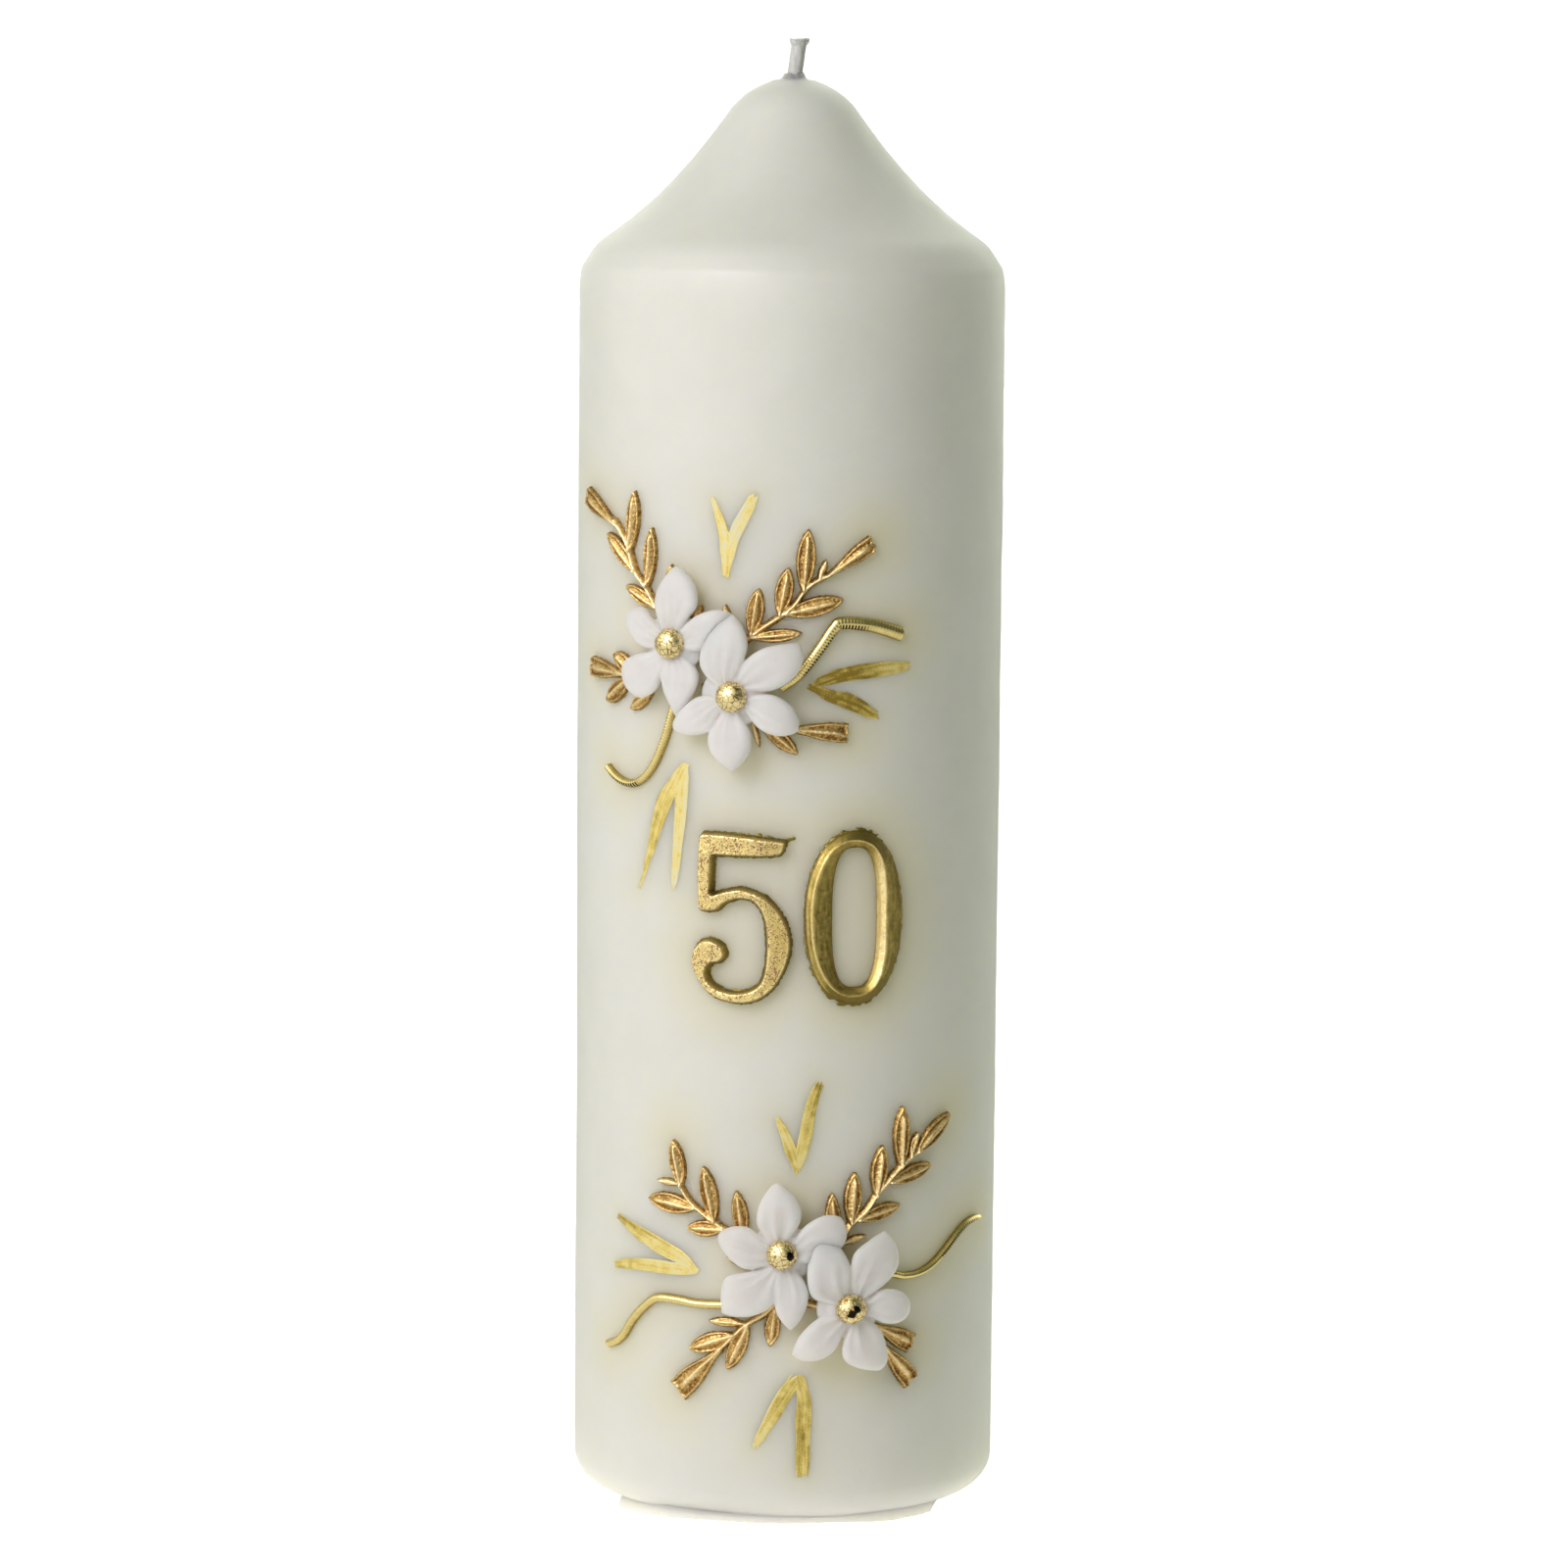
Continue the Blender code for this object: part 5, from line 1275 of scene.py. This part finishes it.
def plate_lean(plate):
    """How a plate of gold leaf tilts out of the bead's surface; each plate has its own."""
    return Vector([math.sin(plate.dot(axis) * PLATE_SCATTER) for axis in PLATE_AXES]) * PLATE_TILT


def plate_is_bare(plate, offset, bare_spot):
    """Whether the leaf has come off a plate: most of the plates near the bare spot have lost theirs."""
    place = (plate - offset) / PLATES_PER_RADIUS
    return (place - bare_spot).length < BARE_REACH and math.sin(PLATE_SCATTER * plate.x) > -0.3


# Strips and brush marks

def add_strip(name, strip, material):
    """A half-round strip of gilt wax, finely ribbed across by the roller that made it."""
    points, first_width, last_width = strip
    path = smooth_path(points, 0.06)
    along = np.append(0.0, np.cumsum(np.hypot(*np.diff(path, axis=0).T)))
    tangent = np.gradient(path, axis=0)
    tangent /= np.linalg.norm(tangent, axis=1, keepdims=True)
    normal = np.stack([-tangent[:, 1], tangent[:, 0]], axis=1)
    turns = np.linspace(-0.12 * math.pi, 1.12 * math.pi, 25)
    rings, tones, dark_reflection_rows = [], [], []
    for place, travelled, across in zip(path, along, normal):
        share = travelled / along[-1]
        half = (first_width + (last_width - first_width) * share) / 2
        rib = 0.5 + 0.5 * math.cos(2 * math.pi * travelled / RIB_PITCH)
        worn = noise(np.array([travelled]), np.array([0.0]), 3.5, 61 + len(name))[0]
        height = STRIP_HEIGHT - 0.035 * rib + 0.03 * worn
        reach = (half - 0.02 * rib) * np.cos(turns)
        rings.append(np.column_stack([place + reach[:, None] * across, STRIP_SINK + height * np.sin(turns)]))
        # Painted highlight along the crown of the half-round and painted shade towards its foot; darker in
        # the grooves between the ribs
        tones.append(0.15 + 0.75 * np.clip(np.sin(turns), 0.0, 1.0) ** 1.5 - 0.10 * rib)
        # Painted dark reflections: black dashes between the ribs
        dark_reflection = np.zeros(len(turns))
        for start, end, side in DASHES.get(name, []):
            dark_reflection += (window(share, start, start + 0.04, end - 0.10, end) * smoothstep(0.2, 0.35, rib)
                     * window(np.cos(turns), side - 0.60, side - 0.50, side + 0.50, side + 0.60))
        dark_reflection_rows.append(dark_reflection)
    ends = np.array([(*path[0], 0.3), (*path[-1], 0.3)])
    add_piece(name + "_foil", wrap(np.concatenate([*rings, ends])), tube_faces(len(rings), len(turns)),
              material, [name],
              {"tone": np.append(np.concatenate(tones), [0.3, 0.3]),
               "painted_dark_reflection": np.append(np.concatenate(dark_reflection_rows), [0.0, 0.0])})


def stroke_field(across, up, path, seed):
    """Edge distance and paint load, which also carries painted shade, of one dry-brushed stroke."""
    distance, side, along, row = follow_path(across, up, path)
    rows = np.arange(len(path))
    half = np.interp(row, rows, path[:, 2]) / 2
    length = np.hypot(*np.diff(path[:, :2], axis=0).T).sum()
    bristles = noise(side, along * 0.06, 0.19, seed) * 0.6 + noise(side, along * 0.1, 0.5, seed + 1) * 0.4
    clumps = noise(across, up, 0.9, seed + 2)
    paint_load_and_shade = np.interp(row, rows, path[:, 3]) + 0.26 * bristles + 0.14 * clumps
    ends = np.minimum(along, length - along)
    edge = half - distance + 0.16 * bristles + 0.5 * bristles * smoothstep(1.2, 0.0, ends)
    return np.minimum(edge, (paint_load_and_shade + 0.02) * 0.6), paint_load_and_shade - 0.10 * smoothstep(0.3, 0.0, edge)


def add_brush_mark(name, strokes, material, seed):
    """A thin coat of paint over both strokes of a mark."""
    paths = [smooth_path(stroke, 0.5) for stroke in strokes]

    def fields(across, up):
        edge = np.full(across.shape, -9.0)
        paint_load_and_shade = np.zeros(across.shape)
        for index, path in enumerate(paths):
            stroke_edge, stroke_load = stroke_field(across, up, path, seed + 5 * index)
            paint_load_and_shade = np.where(stroke_edge > edge, stroke_load, paint_load_and_shade)
            edge = np.maximum(edge, stroke_edge)
        return edge, paint_load_and_shade

    def inside(across, up):
        return fields(across, up)[0]

    def shape(across, up):
        edge, paint_load_and_shade = fields(across, up)
        return 0.02 + 0.015 * paint_load_and_shade + 0.015 * smoothstep(0.0, 0.2, edge), {"paint_load_and_shade": paint_load_and_shade}

    add_casting(name + "_paint", np.vstack(paths)[:, :2], BRUSH_MARGIN, BRUSH_GRID, inside, shape, material,
                name, foot=PAINT_FOOT, smallest=20)


# Studio

CAMERA_AZIMUTH = math.radians(-2.86)
CAMERA_PITCH = math.radians(6.62)
CAMERA_DISTANCE = 0.950
CAMERA_ROLL = math.radians(0.476)
CAMERA_LENS = 131.24
CAMERA_SHIFT = -0.0026
LOOK_AT = Vector((0.0, 0.0, 0.1188))


def add_camera():
    """The photograph's camera; back points from the candle to it."""
    back = Vector((math.sin(CAMERA_AZIMUTH) * math.cos(CAMERA_PITCH),
                   -math.cos(CAMERA_AZIMUTH) * math.cos(CAMERA_PITCH), math.sin(CAMERA_PITCH)))
    data = bpy.data.cameras.new("camera")
    data.lens = CAMERA_LENS
    data.sensor_width = 36.0
    data.shift_x = CAMERA_SHIFT
    data.clip_start = 0.05
    data.clip_end = 20.0
    camera = add_object("camera", data)
    camera.location = LOOK_AT + back * CAMERA_DISTANCE
    camera.rotation_mode = "QUATERNION"
    camera.rotation_quaternion = (-back).to_track_quat("-Z", "Y") @ Quaternion((0.0, 0.0, 1.0), CAMERA_ROLL)
    bpy.context.scene.camera = camera


def add_key_light():
    """A large softbox at the front left that faces the middle of the candle."""
    data = bpy.data.lights.new("key", "AREA")
    data.shape = "SQUARE"
    data.size = KEY_SIZE
    data.energy = KEY_POWER
    data.color = KEY_COLOUR
    light = add_object("key", data)
    light.location = KEY_PLACE
    light.rotation_euler = (light.location - LOOK_AT).to_track_quat("Z", "Y").to_euler()


# Soft light from the studio walls: (direction, cosine where it fades out, cosine where it is full, light)
WALL_LIGHT = [
    ((0.45, 0.90, 0.05), 0.35, 0.90, (1.14, 1.14, 1.07)),
    ((0.20, 1.00, 0.05), 0.50, 0.95, (0.68, 0.76, 0.57)),
    ((-0.60, -0.20, 0.80), 0.40, 0.95, (0.20, 0.20, 0.13)),
    ((0.00, 0.00, 1.00), 0.30, 0.95, (0.05, 0.09, 0.03)),
]
# White cards that only show in reflections, so that the gold has something to mirror
REFLECTED_CARDS = [
    ((-0.87, -0.50, 0.25), -0.05, 1.00, (1.05, 1.02, 0.96)),
    ((0.40, -1.00, 0.20), -1.00, 1.00, (0.11, 0.11, 0.10)),
]
BACKDROP_LIGHT = (1.2, 1.2, 1.2)
# The floor's glow: beside the foot, further out, and as the camera sees it. Then, in metres from the axis,
# where the stronger glow falls to the weaker one and where that dies out.
FLOOR_GLOW_NEAR = 0.48
FLOOR_GLOW = 0.15
FLOOR_SEEN = 0.85
FLOOR_GLOW_NEAR_REACH = (0.034, 0.055)
FLOOR_GLOW_REACH = (0.12, 0.45)
FLOOR_HALF_SIZE = 4.0
FLOOR_DROP = 0.00002
KEY_PLACE = (-0.65, -0.75, 0.80)
KEY_SIZE = 0.7
KEY_POWER = 8.5
KEY_COLOUR = (0.985, 0.94, 0.99)


def add_world():
    """A white studio whose back wall is bright; the camera itself sees plain white."""
    world = bpy.data.worlds.new("studio")
    world.use_nodes = True
    bpy.context.scene.world = world
    tree = world.node_tree
    direction = add_node(tree, "ShaderNodeTexCoord").outputs["Generated"]
    ray = add_node(tree, "ShaderNodeLightPath").outputs
    cards = vector_maths(tree, "SCALE", {0: wall_lobes(tree, direction, REFLECTED_CARDS),
                                         "Scale": ray["Is Glossy Ray"]})
    light = vector_maths(tree, "ADD", {0: wall_lobes(tree, direction, WALL_LIGHT), 1: cards})
    seen = add_node(tree, "ShaderNodeMix", {"Factor": ray["Is Camera Ray"], 4: light, 5: BACKDROP_LIGHT},
                    data_type="VECTOR").outputs[1]
    feed(tree, tree.nodes["Background"].inputs["Color"], seen)


def vector_maths(tree, operation, inputs):
    made = add_node(tree, "ShaderNodeVectorMath", inputs, operation=operation)
    return made.outputs["Value" if operation == "DOT_PRODUCT" else "Vector"]


def wall_lobes(tree, direction, lobes):
    """The summed light of soft round patches of wall."""
    total = (0.0, 0.0, 0.0)
    for aim, fade_out, full, light in lobes:
        facing = vector_maths(tree, "DOT_PRODUCT", {0: direction, 1: Vector(aim).normalized()})
        limits = {"Value": facing, "From Min": fade_out, "From Max": full}
        share = add_node(tree, "ShaderNodeMapRange", limits, interpolation_type="SMOOTHSTEP")
        patch = vector_maths(tree, "SCALE", {0: light, "Scale": share.outputs["Result"]})
        total = vector_maths(tree, "ADD", {0: total, 1: patch})
    return total


def add_floor():
    bm = bmesh.new()
    bmesh.ops.create_grid(bm, x_segments=8, y_segments=8, size=FLOOR_HALF_SIZE)
    mesh = bpy.data.meshes.new("floor")
    bm.to_mesh(mesh)
    bm.free()
    mesh.materials.append(floor_material())
    floor = add_object("floor", mesh)
    floor.location.z = -FLOOR_DROP


def add_studio():
    """Camera, surroundings, floor and light."""
    add_camera()
    add_world()
    add_floor()
    add_key_light()
    view = bpy.context.scene.view_settings
    view.view_transform = "Standard"
    view.look = "None"


def main():
    wax = wax_material()
    add_wax_body(wax)
    add_foot(wax)
    add_wick(cotton_material())
    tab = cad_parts["wick_sustainer"]
    tab.data.materials.clear()
    tab.data.materials.append(tinplate_material())
    leaf_gold = leaf_gold_material()
    for index, (name, sprig) in enumerate(SPRIGS.items()):
        add_sprig(name, sprig, leaf_gold, 100 * index + 1)
    petals = flower_material()
    bead_gold = bead_gold_material()
    for index, (name, flower) in enumerate(FLOWERS.items()):
        add_flower(name, flower, petals, 10 * index)
        add_bead(name.replace("flower", "bead"), flower, bead_gold, 5.0 * index)
    strip_gold = strip_gold_material()
    for name, strip in STRIPS.items():
        add_strip(name, strip, strip_gold)
    paint = brush_gold_material()
    for index, (name, strokes) in enumerate(BRUSH_MARKS.items()):
        add_brush_mark(name, strokes, paint, 40 * index + 3)
    numeral_gold = numeral_gold_material()
    add_numeral_five(numeral_gold)
    add_numeral_zero(numeral_gold)
    add_studio()


main()
